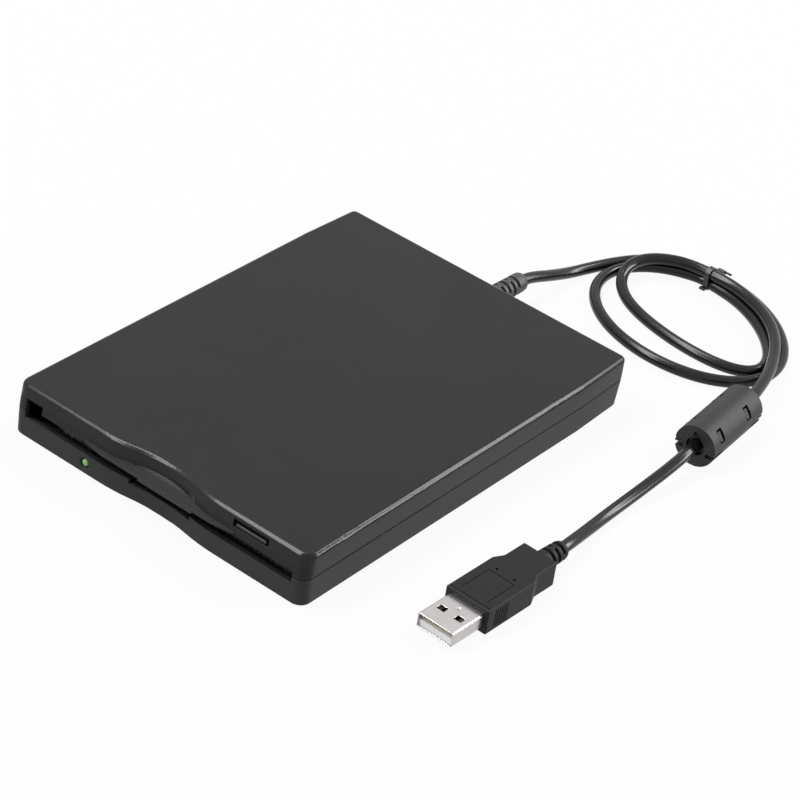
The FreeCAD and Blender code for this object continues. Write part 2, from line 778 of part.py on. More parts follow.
# ---------------------------------------------------------------- drive frame
def make_chassis():
    half = CHASSIS_X
    y = (CHASSIS_FRONT, CHASSIS_REAR)
    base = box("chassis_base", (-half, half), y, (CHASSIS_FLOOR, CHASSIS_TOP))
    walls = []
    tools = [rod("motor_hole", "z", S.motor_hole_radius, 3, (0, SPINDLE_Y, CHASSIS_FLOOR - 1))]
    ears = []
    for side, word in ((-1, "left"), (1, "right")):
        outer = half * side
        inner = (half - S.chassis_thickness) * side
        xs = (outer, inner) if side < 0 else (inner, outer)
        walls.append(box(f"chassis_wall_{word}", xs, y, (CHASSIS_FLOOR, WALL_TOP)))
        through = (xs[0] - 1, xs[1] + 1)
        slot_half = S.pin_radius + S.pin_play
        for place, pin_y in (("front", FRONT_PIN_Y), ("rear", REAR_PIN_Y)):
            tools.append(box(f"pin_slot_{place}_{word}", through, (pin_y - slot_half, pin_y + slot_half),
                             (PIN_HEIGHT - S.holder_drop - slot_half, PIN_HEIGHT + slot_half)))
        tools.append(box(f"spring_window_{word}", through,
                         (SPRING_REAR - S.slide_travel - 0.6, SPRING_REAR + S.spring_ear_thickness + 0.6),
                         (SPRING_HEIGHT - S.spring_ear_half_height - 0.3,
                          SPRING_HEIGHT + S.spring_ear_half_height + 0.3)))
        reach = (half + S.spring_ear_reach) * side
        ear_x = (reach, outer) if side < 0 else (outer, reach)
        ears.append(box(f"spring_anchor_{word}", ear_x,
                        (SPRING_FRONT - S.spring_ear_thickness, SPRING_FRONT),
                        (SPRING_HEIGHT - S.spring_ear_half_height,
                         SPRING_HEIGHT + S.spring_ear_half_height)))
    tools.append(box("carriage_opening", (-S.carriage_half_width - 1, S.carriage_half_width + 1),
                     (SPINDLE_Y + S.motor_hole_radius - 1, BRACKET_FRONT - 0.4),
                     (CHASSIS_FLOOR - 1, CHASSIS_TOP + 1)))
    tools.append(box("arm_opening", (-S.head_arm_half_width - 1, S.head_arm_half_width + 1),
                     (BRACKET_FRONT - 1, CARRIAGE_REAR + 1), (CHASSIS_FLOOR - 1, CHASSIS_TOP + 1)))
    for n, (x, screw_y) in enumerate(chassis_screw_places()):
        tools.append(rod(f"chassis_screw_hole_{n}", "z", S.chassis_screw_radius + S.case_screw_play, 3,
                         (x, screw_y, CHASSIS_FLOOR - 1)))
    frame = join("chassis_frame", base, *walls, *ears)
    return named(cut("chassis", frame, *tools), "chassis")


def make_chassis_screws():
    screws = []
    for n, (x, y) in enumerate(chassis_screw_places()):
        head = rod(f"chassis_screw_head_{n}", "z", S.chassis_screw_head_radius,
                   S.chassis_screw_head_height, (x, y, CHASSIS_TOP))
        shank = rod(f"chassis_screw_shank_{n}", "z", S.chassis_screw_radius,
                    S.chassis_screw_length, (x, y, CHASSIS_TOP - S.chassis_screw_length))
        screws.append(join(f"chassis_screw_{n}", head, shank))
    return named(group("chassis_screws", *screws), "chassis_screws")


def make_drive_shield():
    half = CHASSIS_X
    plate = box("shield_plate", (-half, half), (CHASSIS_FRONT + S.shield_setback, CHASSIS_REAR),
                (WALL_TOP, WALL_TOP + S.shield_thickness))
    window_front = SPINDLE_Y - S.shield_window_length / 2 - 3
    windows = [box(f"shield_window_{n}", (x, x + S.shield_window_width),
                   (window_front, window_front + S.shield_window_length), (WALL_TOP - 1, WALL_TOP + 1))
               for n, x in enumerate((-SHIELD_BAND_X - S.shield_window_width, SHIELD_BAND_X))]
    return named(cut("drive_shield", plate, *windows), "drive_shield")


# ---------------------------------------------------------------- disk holder, slide, button
def make_disk_holder():
    y = (HOLDER_FRONT, HOLDER_REAR)
    outer = box("holder_outer", (-HOLDER_X, HOLDER_X), y, (RAIL_TOP - S.holder_sheet, HOLDER_TOP))
    inside = box("holder_inside", (-HOLDER_INNER_X, HOLDER_INNER_X), (y[0] - 1, y[1] + 1),
                 (RAIL_TOP, HOLDER_CEILING))
    rail_inner = HOLDER_X - S.holder_rail_width
    open_floor = box("holder_open_floor", (-rail_inner, rail_inner), (y[0] - 1, y[1] + 1),
                     (RAIL_TOP - 2, RAIL_TOP + 1))
    head_opening = box("head_opening", (-S.head_arm_half_width - 2, S.head_arm_half_width + 2),
                       (HEAD_FRONT - S.carriage_travel - 0.7, y[1] + 1),
                       (HOLDER_CEILING - 1, HOLDER_TOP + 1))
    hub_window = rod("hub_window", "z", S.hub_window_radius, 3,
                     (0, SPINDLE_Y - S.hub_window_setback, HOLDER_CEILING - 1))
    sweep = lever_sweep("lever_slot", HOLDER_CEILING - 1, 3, S.lever_pin_radius + 0.35)
    post_hole = rod("lever_post_hole", "z", S.lever_pivot_radius, 3,
                    (LEVER_X, LEVER_Y, HOLDER_CEILING - 1))
    holder = cut("disk_holder", outer, inside, open_floor, head_opening, hub_window, sweep, post_hole)
    return named(holder, "disk_holder")


def lever_sweep(name, level, height, half_width):
    """The curved slot that the lever's pin swings in, as a ring sector with round ends."""
    centre = (LEVER_X, LEVER_Y, level)
    ring = cut(name + "_ring",
               rod(name + "_outer", "z", S.lever_reach + half_width, height, centre),
               rod(name + "_inner", "z", S.lever_reach - half_width, height + 2,
                   (LEVER_X, LEVER_Y, level - 1)))
    sector = doc.addObject("Part::Cylinder", name + "_sector")
    bind(sector, Radius=S.lever_reach + half_width + 2, Height=height, Angle=S.lever_swing)
    turn = S.lever_rest_angle.value - S.lever_swing.value
    sector.Placement = Placement(Vector(), Rotation(Vector(0, 0, 1), turn))
    sector.setExpression("Placement.Rotation.Angle", (S.lever_rest_angle - S.lever_swing).text)
    put(sector, *centre)
    ends = []
    for n, angle in enumerate((S.lever_rest_angle, S.lever_rest_angle - S.lever_swing)):
        x, y = lever_point(S.lever_reach, angle)
        ends.append(rod(f"{name}_end_{n}", "z", half_width, height, (x, y, level)))
    return join(name, common(name + "_band", ring, sector), *ends)


def lever_point(reach, angle):
    turn = math.radians(angle.value)
    x = Size(reach.value * math.cos(turn), f"({reach.text} * cos({angle.text} * 1deg))")
    y = Size(reach.value * math.sin(turn), f"({reach.text} * sin({angle.text} * 1deg))")
    return LEVER_X + x, LEVER_Y + y


def make_holder_pins():
    pins = []
    length = CHASSIS_X + 0.4 - HOLDER_X
    for side, word in ((-1, "left"), (1, "right")):
        for place, pin_y in (("front", FRONT_PIN_Y), ("rear", REAR_PIN_Y)):
            start_x = HOLDER_X if side > 0 else -HOLDER_X - length
            pins.append(rod(f"holder_pin_{place}_{word}", "x", S.pin_radius, length,
                            (start_x, pin_y, PIN_HEIGHT)))
    return named(group("holder_pins", *pins), "holder_pins")


def make_shutter_lever():
    low = HOLDER_TOP + S.lever_gap
    span = S.lever_reach
    arm = box("lever_arm", (0, span), (-S.lever_width / 2, S.lever_width / 2), (0, S.lever_sheet))
    boss = rod("lever_boss", "z", S.lever_width / 2 + 0.6, S.lever_sheet, (0, 0, 0))
    tip = rod("lever_tip", "z", S.lever_width / 2, S.lever_sheet, (span, 0, 0))
    pin = rod("lever_pin", "z", S.lever_pin_radius, S.lever_pin_depth + 0.1,
              (span, 0, -S.lever_pin_depth))
    eye = rod("lever_eye", "z", S.lever_pivot_radius + S.running_gap, 3, (0, 0, -1))
    lever = cut("shutter_lever", join("lever_blank", arm, boss, tip, pin), eye)
    lever.Placement = Placement(Vector(), Rotation(Vector(0, 0, 1), S.lever_rest_angle.value))
    lever.setExpression("Placement.Rotation.Angle", S.lever_rest_angle.text)
    put(lever, LEVER_X, LEVER_Y, low)
    return named(lever, "shutter_lever")


def make_lever_pivot():
    post = rod("pivot_post", "z", S.lever_pivot_radius, S.holder_sheet + S.lever_sheet + S.lever_gap * 2,
               (LEVER_X, LEVER_Y, HOLDER_CEILING))
    cap = rod("pivot_cap", "z", S.lever_pivot_radius + 0.7, 0.25,
              (LEVER_X, LEVER_Y, HOLDER_TOP + S.lever_sheet + S.lever_gap * 2))
    return named(join("lever_pivot", post, cap), "lever_pivot")


def make_eject_slide():
    y = (CHASSIS_FRONT, HOLDER_REAR)
    pieces = [box("slide_strip", (-SLIDE_X, SLIDE_X), (y[0], y[0] + S.slide_strip_depth),
                  (SLIDE_FLOOR, SLIDE_TOP))]
    tools = []
    for side, word in ((-1, "left"), (1, "right")):
        outer, inner = SLIDE_X * side, SLIDE_INNER_X * side
        xs = (outer, inner) if side < 0 else (inner, outer)
        top_inner = (SLIDE_X - S.slide_top_width) * side
        tops = (outer, top_inner) if side < 0 else (top_inner, outer)
        pieces.append(box(f"slide_skirt_{word}", xs, y, (CHASSIS_TOP + S.slide_skirt_gap, SLIDE_TOP)))
        pieces.append(box(f"slide_top_{word}", tops, y, (SLIDE_FLOOR, SLIDE_TOP)))
        reach = (CHASSIS_X + S.spring_ear_reach) * side
        ear_x = (reach, inner) if side < 0 else (inner, reach)
        pieces.append(box(f"slide_ear_{word}", ear_x, (SPRING_REAR, SPRING_REAR + S.spring_ear_thickness),
                          (SPRING_HEIGHT - S.spring_ear_half_height,
                           SPRING_HEIGHT + S.spring_ear_half_height)))
        for place, pin_y in (("front", FRONT_PIN_Y), ("rear", REAR_PIN_Y)):
            tools.append(ramp_slot(f"ramp_{place}_{word}", xs[0] - 1, S.slide_sheet + 2, pin_y))
    tab_y = y[0]
    pieces.append(box("slide_tab", (BUTTON_X - S.button_tab_width / 2,
                                    BUTTON_X + S.button_tab_width / 2),
                      (tab_y, tab_y + S.slide_sheet),
                      (SLIDE_FLOOR, BUTTON_TOP - 0.4)))
    return named(cut("eject_slide", join("slide_blank", *pieces), *tools), "eject_slide")


def ramp_slot(name, x, depth, pin_y):
    """The slanted slot that turns the slide's travel into the holder's drop."""
    slope = S.holder_drop / S.slide_travel
    end = S.pin_radius + S.pin_play
    half = end * 1.1
    near, far = pin_y - end, pin_y + S.slide_travel + end
    high = PIN_HEIGHT + slope * end
    low = PIN_HEIGHT - S.holder_drop - slope * end
    side = outline(name + "_side", "yz", x,
                   [(near, high - half), (far, low - half), (far, low + half), (near, high + half)])
    return raised(name, side, (depth, 0, 0))


def make_eject_button():
    face = FRONT + S.front_lean * 0.6 - S.button_out
    middle = BUTTON_X
    z = (BUTTON_FLOOR, BUTTON_TOP)
    cap = box("button_cap", (middle - S.button_width / 2, middle + S.button_width / 2),
              (face, face + S.button_cap_depth), z)
    stem_z = (z[0] + 0.15, z[1] - 0.15)
    stem_rear = CHASSIS_FRONT + S.slide_sheet + 1.2
    stem = box("button_stem", (middle - S.button_stem_width / 2, middle + S.button_stem_width / 2),
               (face + S.button_cap_depth - 0.1, stem_rear), stem_z)
    socket = box("button_socket", (middle - S.button_tab_width / 2, middle + S.button_tab_width / 2),
                 (CHASSIS_FRONT, CHASSIS_FRONT + S.slide_sheet),
                 (z[0] - 1, z[1] - 0.4))
    doc.recompute()
    blank = rounded("button_blank", join("button_body", cap, stem), Size(0.35, "(0.35)"),
                    lambda edge: all(v.Y < face.value + 0.01 for v in edge.Vertexes))
    return named(cut("eject_button", blank, socket), "eject_button")


def make_eject_springs():
    springs = []
    for side, word in ((-1, "left"), (1, "right")):
        x = (CHASSIS_X + S.spring_ear_reach / 2) * side
        springs.append(rod(f"eject_spring_{word}", "y", S.spring_radius, S.spring_length,
                           (x, SPRING_FRONT, SPRING_HEIGHT)))
    return named(group("eject_springs", *springs), "eject_springs")


# ---------------------------------------------------------------- spindle
BOARD_LOW = FLOOR + S.stator_lift
STATOR_TOP = BOARD_LOW + S.stator_thickness
ROTOR_LOW = STATOR_TOP + S.coil_height + S.rotor_above_coils


def disc(name, radius, low, height, x=0):
    return rod(name, "z", radius, height, (x, SPINDLE_Y, low))


def make_stator():
    board = disc("stator_disc", S.motor_hole_radius - S.stator_gap, BOARD_LOW, S.stator_thickness)
    hole = disc("stator_hole", S.bearing_radius, BOARD_LOW - 1, 3)
    named(cut("stator_board", board, hole), "stator_board")
    coils = []
    for n in range(int(S.coil_count.value)):
        angle = math.radians(360 * n / S.coil_count.value)
        x = S.coil_circle * math.cos(angle)
        y = SPINDLE_Y + S.coil_circle * math.sin(angle)
        body = rod(f"coil_body_{n}", "z", S.coil_radius, S.coil_height, (x, y, STATOR_TOP))
        core = rod(f"coil_core_{n}", "z", S.coil_radius * 0.4, 2, (x, y, STATOR_TOP - 0.5))
        coils.append(cut(f"coil_{n}", body, core))
    named(group("stator_coils", *coils), "stator_coils")
    sleeve = disc("bearing_body", S.bearing_radius, BOARD_LOW, S.bearing_height)
    bore = disc("bearing_bore", S.shaft_radius + S.running_gap, BOARD_LOW - 1, S.bearing_height + 2)
    return named(cut("spindle_bearing", sleeve, bore), "spindle_bearing")


def make_rotor():
    hub_low = ROTOR_LOW + S.rotor_thickness
    hub_top = hub_low + S.hub_height
    yoke = disc("yoke_disc", S.rotor_radius, ROTOR_LOW, S.rotor_thickness)
    bore = disc("yoke_bore", S.shaft_radius, ROTOR_LOW - 1, 3)
    named(cut("rotor_yoke", yoke, bore), "rotor_yoke")
    magnet_low = ROTOR_LOW - S.magnet_height
    magnet = disc("magnet_disc", S.rotor_radius, magnet_low, S.magnet_height)
    inner = disc("magnet_inner", S.rotor_radius - S.magnet_width, magnet_low - 1, 3)
    named(cut("rotor_magnet", magnet, inner), "rotor_magnet")
    shaft_low = BOARD_LOW + 0.1
    named(disc("spindle_shaft", S.shaft_radius, shaft_low, hub_top + S.shaft_above_hub - shaft_low),
          "spindle_shaft")
    hub = disc("hub_disc", S.hub_radius, hub_low, S.hub_height)
    hub_bore = disc("hub_bore", S.shaft_radius, hub_low - 1, 4)
    pin_hole = disc("hub_pin_hole", S.drive_pin_radius, hub_low - 1, 4, x=S.drive_pin_circle)
    named(cut("spindle_hub", hub, hub_bore, pin_hole), "spindle_hub")
    return named(disc("drive_pin", S.drive_pin_radius, hub_low, S.hub_height + S.shaft_above_hub,
                      x=S.drive_pin_circle), "drive_pin")


# ---------------------------------------------------------------- head carriage
def make_rails():
    rod_length = BRACKET_REAR + S.bracket_sheet - BRACKET_FRONT
    named(rod("guide_rod", "y", S.rod_radius, rod_length, (-RAIL_X, BRACKET_FRONT, RAIL_HEIGHT)),
          "guide_rod")
    half = S.bracket_half_width
    top = RAIL_HEIGHT + half
    plates = []
    places = ((-RAIL_X, BRACKET_FRONT), (-RAIL_X, BRACKET_REAR), (RAIL_X, BRACKET_FRONT))
    for n, (x, y) in enumerate(places):
        plate = box(f"bracket_plate_{n}", (x - half, x + half), (y, y + S.bracket_sheet),
                    (CHASSIS_TOP, top))
        bore = rod(f"bracket_bore_{n}", "y",
                   S.rod_radius if n < 2 else S.screw_radius + S.running_gap,
                   S.bracket_sheet + 2, (x, y - 1, RAIL_HEIGHT))
        plates.append(cut(f"bracket_{n}", plate, bore))
    return named(group("rail_brackets", *plates), "rail_brackets")


def make_stepper():
    centre = (RAIL_X, CHASSIS_REAR, RAIL_HEIGHT)
    half = S.stepper_radius + 1.2
    plate = box("motor_plate", (RAIL_X - half, RAIL_X + half),
                (CHASSIS_REAR - S.motor_plate, CHASSIS_REAR), (CHASSIS_TOP, RAIL_HEIGHT + S.stepper_radius))
    hole = rod("motor_plate_hole", "y", S.screw_radius + 0.3, 4,
               (RAIL_X, CHASSIS_REAR - 2, RAIL_HEIGHT))
    named(cut("motor_bracket", plate, hole), "motor_bracket")
    can = rod("motor_can", "y", S.stepper_radius, S.stepper_length, centre)
    bore = rod("motor_bore", "y", S.screw_radius + S.running_gap, 3,
               (RAIL_X, CHASSIS_REAR - 1, RAIL_HEIGHT))
    named(cut("stepper_motor", can, bore), "stepper_motor")
    return named(rod("lead_screw", "y", S.screw_radius, CHASSIS_REAR + 1.8 - BRACKET_FRONT - 0.1,
                     (RAIL_X, BRACKET_FRONT + 0.1, RAIL_HEIGHT)), "lead_screw")


def make_carriage():
    front = CARRIAGE_FRONT
    half = S.carriage_half_width
    block = box("carriage_block", (-half, half), (front, CARRIAGE_REAR),
                (CARRIAGE_FLOOR, CARRIAGE_TOP))
    blade_x = BOARD_RIGHT - 3.9
    blade_y = (front + 1.8, front + 4.2)
    blade = box("carriage_blade", (blade_x, blade_x + 0.8), blade_y, (CARRIAGE_TOP - 2.4, CARRIAGE_TOP - 0.1))
    blade_arm = box("carriage_blade_arm", (blade_x, 0.5 - half), blade_y,
                    (CARRIAGE_TOP - 0.7, CARRIAGE_TOP - 0.1))
    arm_half = S.head_arm_half_width
    arm_z = (CARRIAGE_FLOOR - S.lower_arm_thickness - 0.05, CARRIAGE_FLOOR - 0.05)
    lower_arm = box("carriage_arm", (-arm_half, arm_half), (HEAD_FRONT, CARRIAGE_REAR), arm_z)
    web = box("carriage_web", (-arm_half, arm_half), (front, CARRIAGE_REAR),
              (arm_z[0], CARRIAGE_FLOOR + 0.5))
    ears = [box(f"arm_ear_{n}", xs, (CARRIAGE_REAR - 3.2, CARRIAGE_REAR),
                (CARRIAGE_TOP - 0.5, ARM_PIN_HEIGHT + 1.3))
            for n, xs in enumerate(((-arm_half - 1.6, -arm_half - 0.3), (arm_half + 0.3, arm_half + 1.6)))]
    pin_y = CARRIAGE_REAR - S.arm_pin_inset
    bush_radius = S.rod_radius + S.bush_wall
    tools = [
        rod("bush_seat", "y", bush_radius, S.carriage_depth + 2, (-RAIL_X, front - 1, RAIL_HEIGHT)),
        rod("screw_passage", "y", S.screw_radius + S.screw_clearance, S.carriage_depth + 2,
            (RAIL_X, front - 1, RAIL_HEIGHT)),
        rod("arm_pin_hole", "x", S.arm_pin_radius, half * 2, (-half, pin_y, ARM_PIN_HEIGHT)),
    ]
    blank = join("carriage_blank", block, blade, blade_arm, lower_arm, web, *ears)
    named(cut("head_carriage", blank, *tools), "head_carriage")
    bush = rod("bush_body", "y", bush_radius, S.carriage_depth, (-RAIL_X, front, RAIL_HEIGHT))
    bush_bore = rod("bush_bore", "y", S.rod_radius + S.running_gap, S.carriage_depth + 2,
                    (-RAIL_X, front - 1, RAIL_HEIGHT))
    named(cut("guide_bush", bush, bush_bore), "guide_bush")
    named(rod("arm_pin", "x", S.arm_pin_radius, arm_half * 2 + 3.2,
              (-arm_half - 1.6, pin_y, ARM_PIN_HEIGHT)), "arm_pin")
    head_half = S.head_size / 2
    return named(box("lower_head", (-head_half, head_half), (HEAD_FRONT, HEAD_FRONT + S.head_size),
                     (arm_z[1], (RAIL_TOP - S.lower_head_below_rail))), "lower_head")


def make_head_arm():
    half = S.head_arm_half_width
    pin_y = CARRIAGE_REAR - S.arm_pin_inset
    low = ARM_PIN_HEIGHT - S.arm_thickness / 2
    plate = box("arm_plate", (-half, half), (HEAD_FRONT, pin_y),
                (low, low + S.arm_thickness))
    knuckle = rod("arm_knuckle", "x", S.arm_pin_radius + 0.6, half * 2,
                  (-half, pin_y, ARM_PIN_HEIGHT))
    bore = rod("arm_bore", "x", S.arm_pin_radius + S.running_gap, half * 2 + 2,
               (-half - 1, pin_y, ARM_PIN_HEIGHT))
    named(cut("head_arm", join("arm_blank", plate, knuckle), bore), "head_arm")
    head_half = S.head_size / 2
    return named(box("upper_head", (-head_half, head_half), (HEAD_FRONT, HEAD_FRONT + S.head_size),
                     ((HOLDER_CEILING + S.upper_head_above_holder), low)), "upper_head")


# ---------------------------------------------------------------- electronics
def make_boards():
    level = (BOARD_HEIGHT, BOARD_HEIGHT + S.board_thickness)
    feet = []
    x = (BOARD_LEFT, BOARD_RIGHT)
    y = (BOARD_FRONT, BOARD_REAR)
    for n, (foot_x, foot_y) in enumerate(((x[0] + 3, y[0] + 3), (x[1] - 3, y[0] + 3),
                                          (x[0] + 3, y[1] - 3), (x[1] - 3, y[1] - 3))):
        feet.append(rod(f"board_stud_{n}", "z", 1.5, BOARD_HEIGHT - CHASSIS_TOP,
                        (foot_x, foot_y, CHASSIS_TOP)))
    named(box("drive_board", x, y, level), "drive_board")
    named(group("board_studs", *feet), "board_studs")
    chip_level = (level[1], level[1] + S.chip_height)
    chips = [
        box("controller_chip", (x[0] + 4, x[0] + 14), (y[0] + 2.5, y[0] + 12.5), chip_level),
        box("motor_chip", (x[0] + 3, x[0] + 8), (y[0] + 13.5, y[0] + 19), chip_level),
    ]
    named(group("drive_chips", *chips), "drive_chips")
    sensor = box("sensor_block", (x[1] - 6, x[1] - 1), (y[1] - 7, y[1] - 3), (level[1], level[1] + 3.0))
    gap = box("sensor_gap", (x[1] - 4.1, x[1] - 2.9), (y[1] - 8, y[1] - 2), (level[1] + 1.2, level[1] + 5))
    named(cut("track_sensor", sensor, gap), "track_sensor")

    bridge_x = (BRIDGE_LEFT, BRIDGE_RIGHT)
    bridge_y = (BRIDGE_FRONT, BRIDGE_REAR)
    named(box("bridge_board", bridge_x, bridge_y, level), "bridge_board")
    bridge = [
        box("bridge_chip", (bridge_x[0] + 11.5, bridge_x[0] + 18.5), (bridge_y[0] + 3, bridge_y[0] + 10),
            (level[1], level[1] + S.chip_height)),
        box("crystal", (bridge_x[0] + 19.2, bridge_x[0] + 22.4), (bridge_y[0] + 1, bridge_y[0] + 7),
            (level[1], level[1] + 2.2)),
    ]
    named(group("bridge_parts", *bridge), "bridge_parts")
    named(box("lead_socket", (bridge_x[1] - 6, bridge_x[1] - 1), (bridge_y[1] - 8, bridge_y[1] - 3),
              (level[1], level[1] + 2.4)), "lead_socket")
    ribbon_x = (bridge_x[0] + 1, bridge_x[0] + 11)
    sockets = [
        box("bridge_socket", ribbon_x, (bridge_y[0] + 1, bridge_y[0] + 4), (level[1], level[1] + 1.6)),
        box("drive_socket", ribbon_x, (y[1] - 4, y[1] - 1), (level[1], level[1] + 1.6)),
    ]
    named(group("ribbon_sockets", *sockets), "ribbon_sockets")
    return named(box("ribbon_cable", (ribbon_x[0] + 0.5, ribbon_x[1] - 0.5),
                     (y[1] - 1, bridge_y[0] + 1), (level[1] + 0.8, level[1] + 1.1)), "ribbon_cable")


def make_light():
    front = FRONT - 0.1
    barrel = rod("light_barrel", "y", S.light_radius, S.light_length - 0.5,
                 (S.light_x, front + 0.5, LIGHT_HEIGHT))
    dome = cone("light_dome", "y", S.light_radius - 0.5, S.light_radius, 0.5,
                (S.light_x, front, LIGHT_HEIGHT))
    named(join("status_led", dome, barrel), "status_led")
    board_front = front + S.light_length
    return named(box("led_board", (S.light_x - 5, S.light_x + 5), (board_front, board_front + 0.8),
                     (FLOOR, LIGHT_HEIGHT + 1.4)), "led_board")


# ---------------------------------------------------------------- lead
CHOKE_PLACE = Placement(Vector(84.35, 63.45, 0), Rotation(Vector(0, 0, 1), 5.2))
PLUG_PLACE = Placement(Vector(84.4, -55.2, 0), Rotation(Vector(0, 0, 1), -1.64))
CHOKE_HEIGHT = S.choke_radius
PLUG_HEIGHT = S.plug_grip_height / 2
RELIEF_INSIDE = -(S.case_wall + S.relief_flange_thickness + S.rear_draft)
PLUG_LENGTH = S.plug_shell_length + S.plug_grip_length + S.plug_neck_length + S.plug_boot_length


def on_axis(placement, along, height):
    """A point on the long axis of the choke or the plug, in the frame of the drive."""
    return tuple(placement.multVec(Vector(0, along, height.value)))


def on_relief(along):
    """A point on the axis of the strain relief, in front of or behind the rear wall."""
    return S.relief_x.value, (REAR + along).value, RELIEF_HEIGHT.value


WIRES_ROUTE = [
    on_relief(RELIEF_INSIDE), on_relief(RELIEF_INSIDE - 3.3), (-4.0, 61.2, 7.4), (-7.6, 61.5, 7.05),
    (BRIDGE_RIGHT.value - 1, BRIDGE_REAR.value - 5.5, 7.05),
]
LEAD_ROUTE = [
    on_relief(S.relief_length), on_relief(S.relief_length + 8), (-0.2, 109.5, 4.6), (2.6, 119.0, 2.2),
    (8.6, 129.0, 1.8), (17.0, 136.8, 1.8),
]
CHOKE_ROUTE = [
    (76.6, 112.6, 2.5), (79.6, 106.4, 4.9),
    on_axis(CHOKE_PLACE, S.choke_length.value + 6, CHOKE_HEIGHT),
    on_axis(CHOKE_PLACE, S.choke_length.value, CHOKE_HEIGHT),
]
PLUG_ROUTE = [
    on_axis(CHOKE_PLACE, 0, CHOKE_HEIGHT), on_axis(CHOKE_PLACE, -6, CHOKE_HEIGHT),
    (85.2, 49.8, 4.6), (85.8, 41.0, 2.3), (86.3, 30.6, 1.8), (86.5, 21.4, 1.8), (86.35, 12.4, 2.4),
    on_axis(PLUG_PLACE, PLUG_LENGTH.value + 6, PLUG_HEIGHT),
    on_axis(PLUG_PLACE, PLUG_LENGTH.value, PLUG_HEIGHT),
]


def tube_path(route, name):
    """Straight runs joined by tangent arcs, each as large as its two runs allow."""
    points = [Vector(*point) for point in route]
    share = 0.45
    edges = []
    radii = []
    last = points[0]
    for before, corner, after in zip(points, points[1:], points[2:]):
        inward = (before - corner)
        outward = (after - corner)
        reach = share * min(inward.Length, outward.Length)
        turn = math.pi - inward.getAngle(outward)
        start = corner + inward.normalize() * reach
        end = corner + outward.normalize() * reach
        bisector = (inward + outward).normalize()
        radius = reach / math.tan(turn / 2)
        middle = corner + bisector * (radius / math.cos(turn / 2) - radius)
        edges.append(Part.LineSegment(last, start).toShape())
        edges.append(Part.Arc(start, middle, end).toShape())
        radii.append(round(radius, 1))
        last = end
    edges.append(Part.LineSegment(last, points[-1]).toShape())
    path = Part.Wire(edges)
    print(f"{name}: length {path.Length:.1f}, bend radii {radii}")
    return path


def make_tube(name, route, radius=S.cord_radius.value):
    path = tube_path(route, name)
    start = Vector(*route[0])
    heading = Vector(*route[1]) - start
    ring = Part.Wire(Part.Circle(start, heading, radius).toShape())
    solid = path.makePipeShell([ring], True, False)
    expected = math.pi * radius ** 2 * path.Length
    print(f"{name}: volume {solid.Volume:.1f}, section times length {expected:.1f}")
    feature = doc.addObject("Part::Feature", name)
    feature.Shape = solid
    feature.Placement = Placement()
    return named(feature, name)


def make_coil(*passing):
    """The outer shape of two loose turns that a tie holds together at the back. The
    strands and the strap that run into it keep their own room."""
    outer = outline("coil_outer", "xy", 0.0, [(14.0, 107.0), (58.0, 96.0), (76.5, 117.0), (40.0, 151.0)],
                    {0: (as_size(44), 1), 1: (as_size(16), 1), 2: (as_size(48), 1), 3: (as_size(29), 1)})
    inner = outline("coil_inner", "xy", -1.0, [(22.0, 122.0), (56.0, 111.5), (68.0, 120.5), (38.0, 140.5)],
                    {0: (as_size(70), 1), 1: (as_size(9), 1), 2: (as_size(34), 1), 3: (as_size(15), 1)})
    height = S.cord_radius * 4
    return named(cut("cord_coil", raised("coil_disc", outer, (0, 0, height)),
                     raised("coil_hole", inner, (0, 0, height + 2)), *passing), "cord_coil")


def make_strain_relief():
    y0 = REAR + RELIEF_INSIDE
    flange = rod("relief_flange", "y", S.relief_flange_radius, S.relief_flange_thickness,
                 (S.relief_x, y0, RELIEF_HEIGHT))
    neck = rod("relief_neck", "y", S.relief_base_radius, REAR - y0, (S.relief_x, y0, RELIEF_HEIGHT))
    taper = cone("relief_taper", "y", S.relief_base_radius, S.relief_tip_radius, S.relief_length,
                 (S.relief_x, REAR, RELIEF_HEIGHT))
    grooves = []
    pitch = S.relief_length / (S.relief_rings + 1)
    for n in range(int(S.relief_rings.value)):
        y = REAR + pitch * (n + 0.8)
        outer = rod(f"relief_groove_outer_{n}", "y", S.relief_base_radius + 1, S.relief_groove_width,
                    (S.relief_x, y, RELIEF_HEIGHT))
        radius = S.relief_base_radius - S.relief_groove_depth - (n + 1) * 0.16
        inner = rod(f"relief_groove_inner_{n}", "y", radius, S.relief_groove_width + 2,
                    (S.relief_x, y - 1, RELIEF_HEIGHT))
        grooves.append(cut(f"relief_groove_{n}", outer, inner))
    body = join("relief_body", flange, neck, taper)
    return named(cut("strain_relief", body, *grooves), "strain_relief")


def make_cable_tie():
    """A thin strap round the three strands of the coil."""
    strap_outer = box("tie_outer", (30.0, 32.4), (137.0, 152.6), (0.0, 8.6))
    strap_inner = box("tie_inner", (29.0, 33.4), (138.0, 151.6), (0.9, 7.7))
    lock = box("tie_lock", (29.4, 33.0), (148.0, 151.0), (8.4, 10.4))
    return named(cut("cable_tie", join("tie_blank", strap_outer, lock), strap_inner), "cable_tie")


def placed(obj, label, placement):
    obj.Placement = placement
    return named(obj, label)


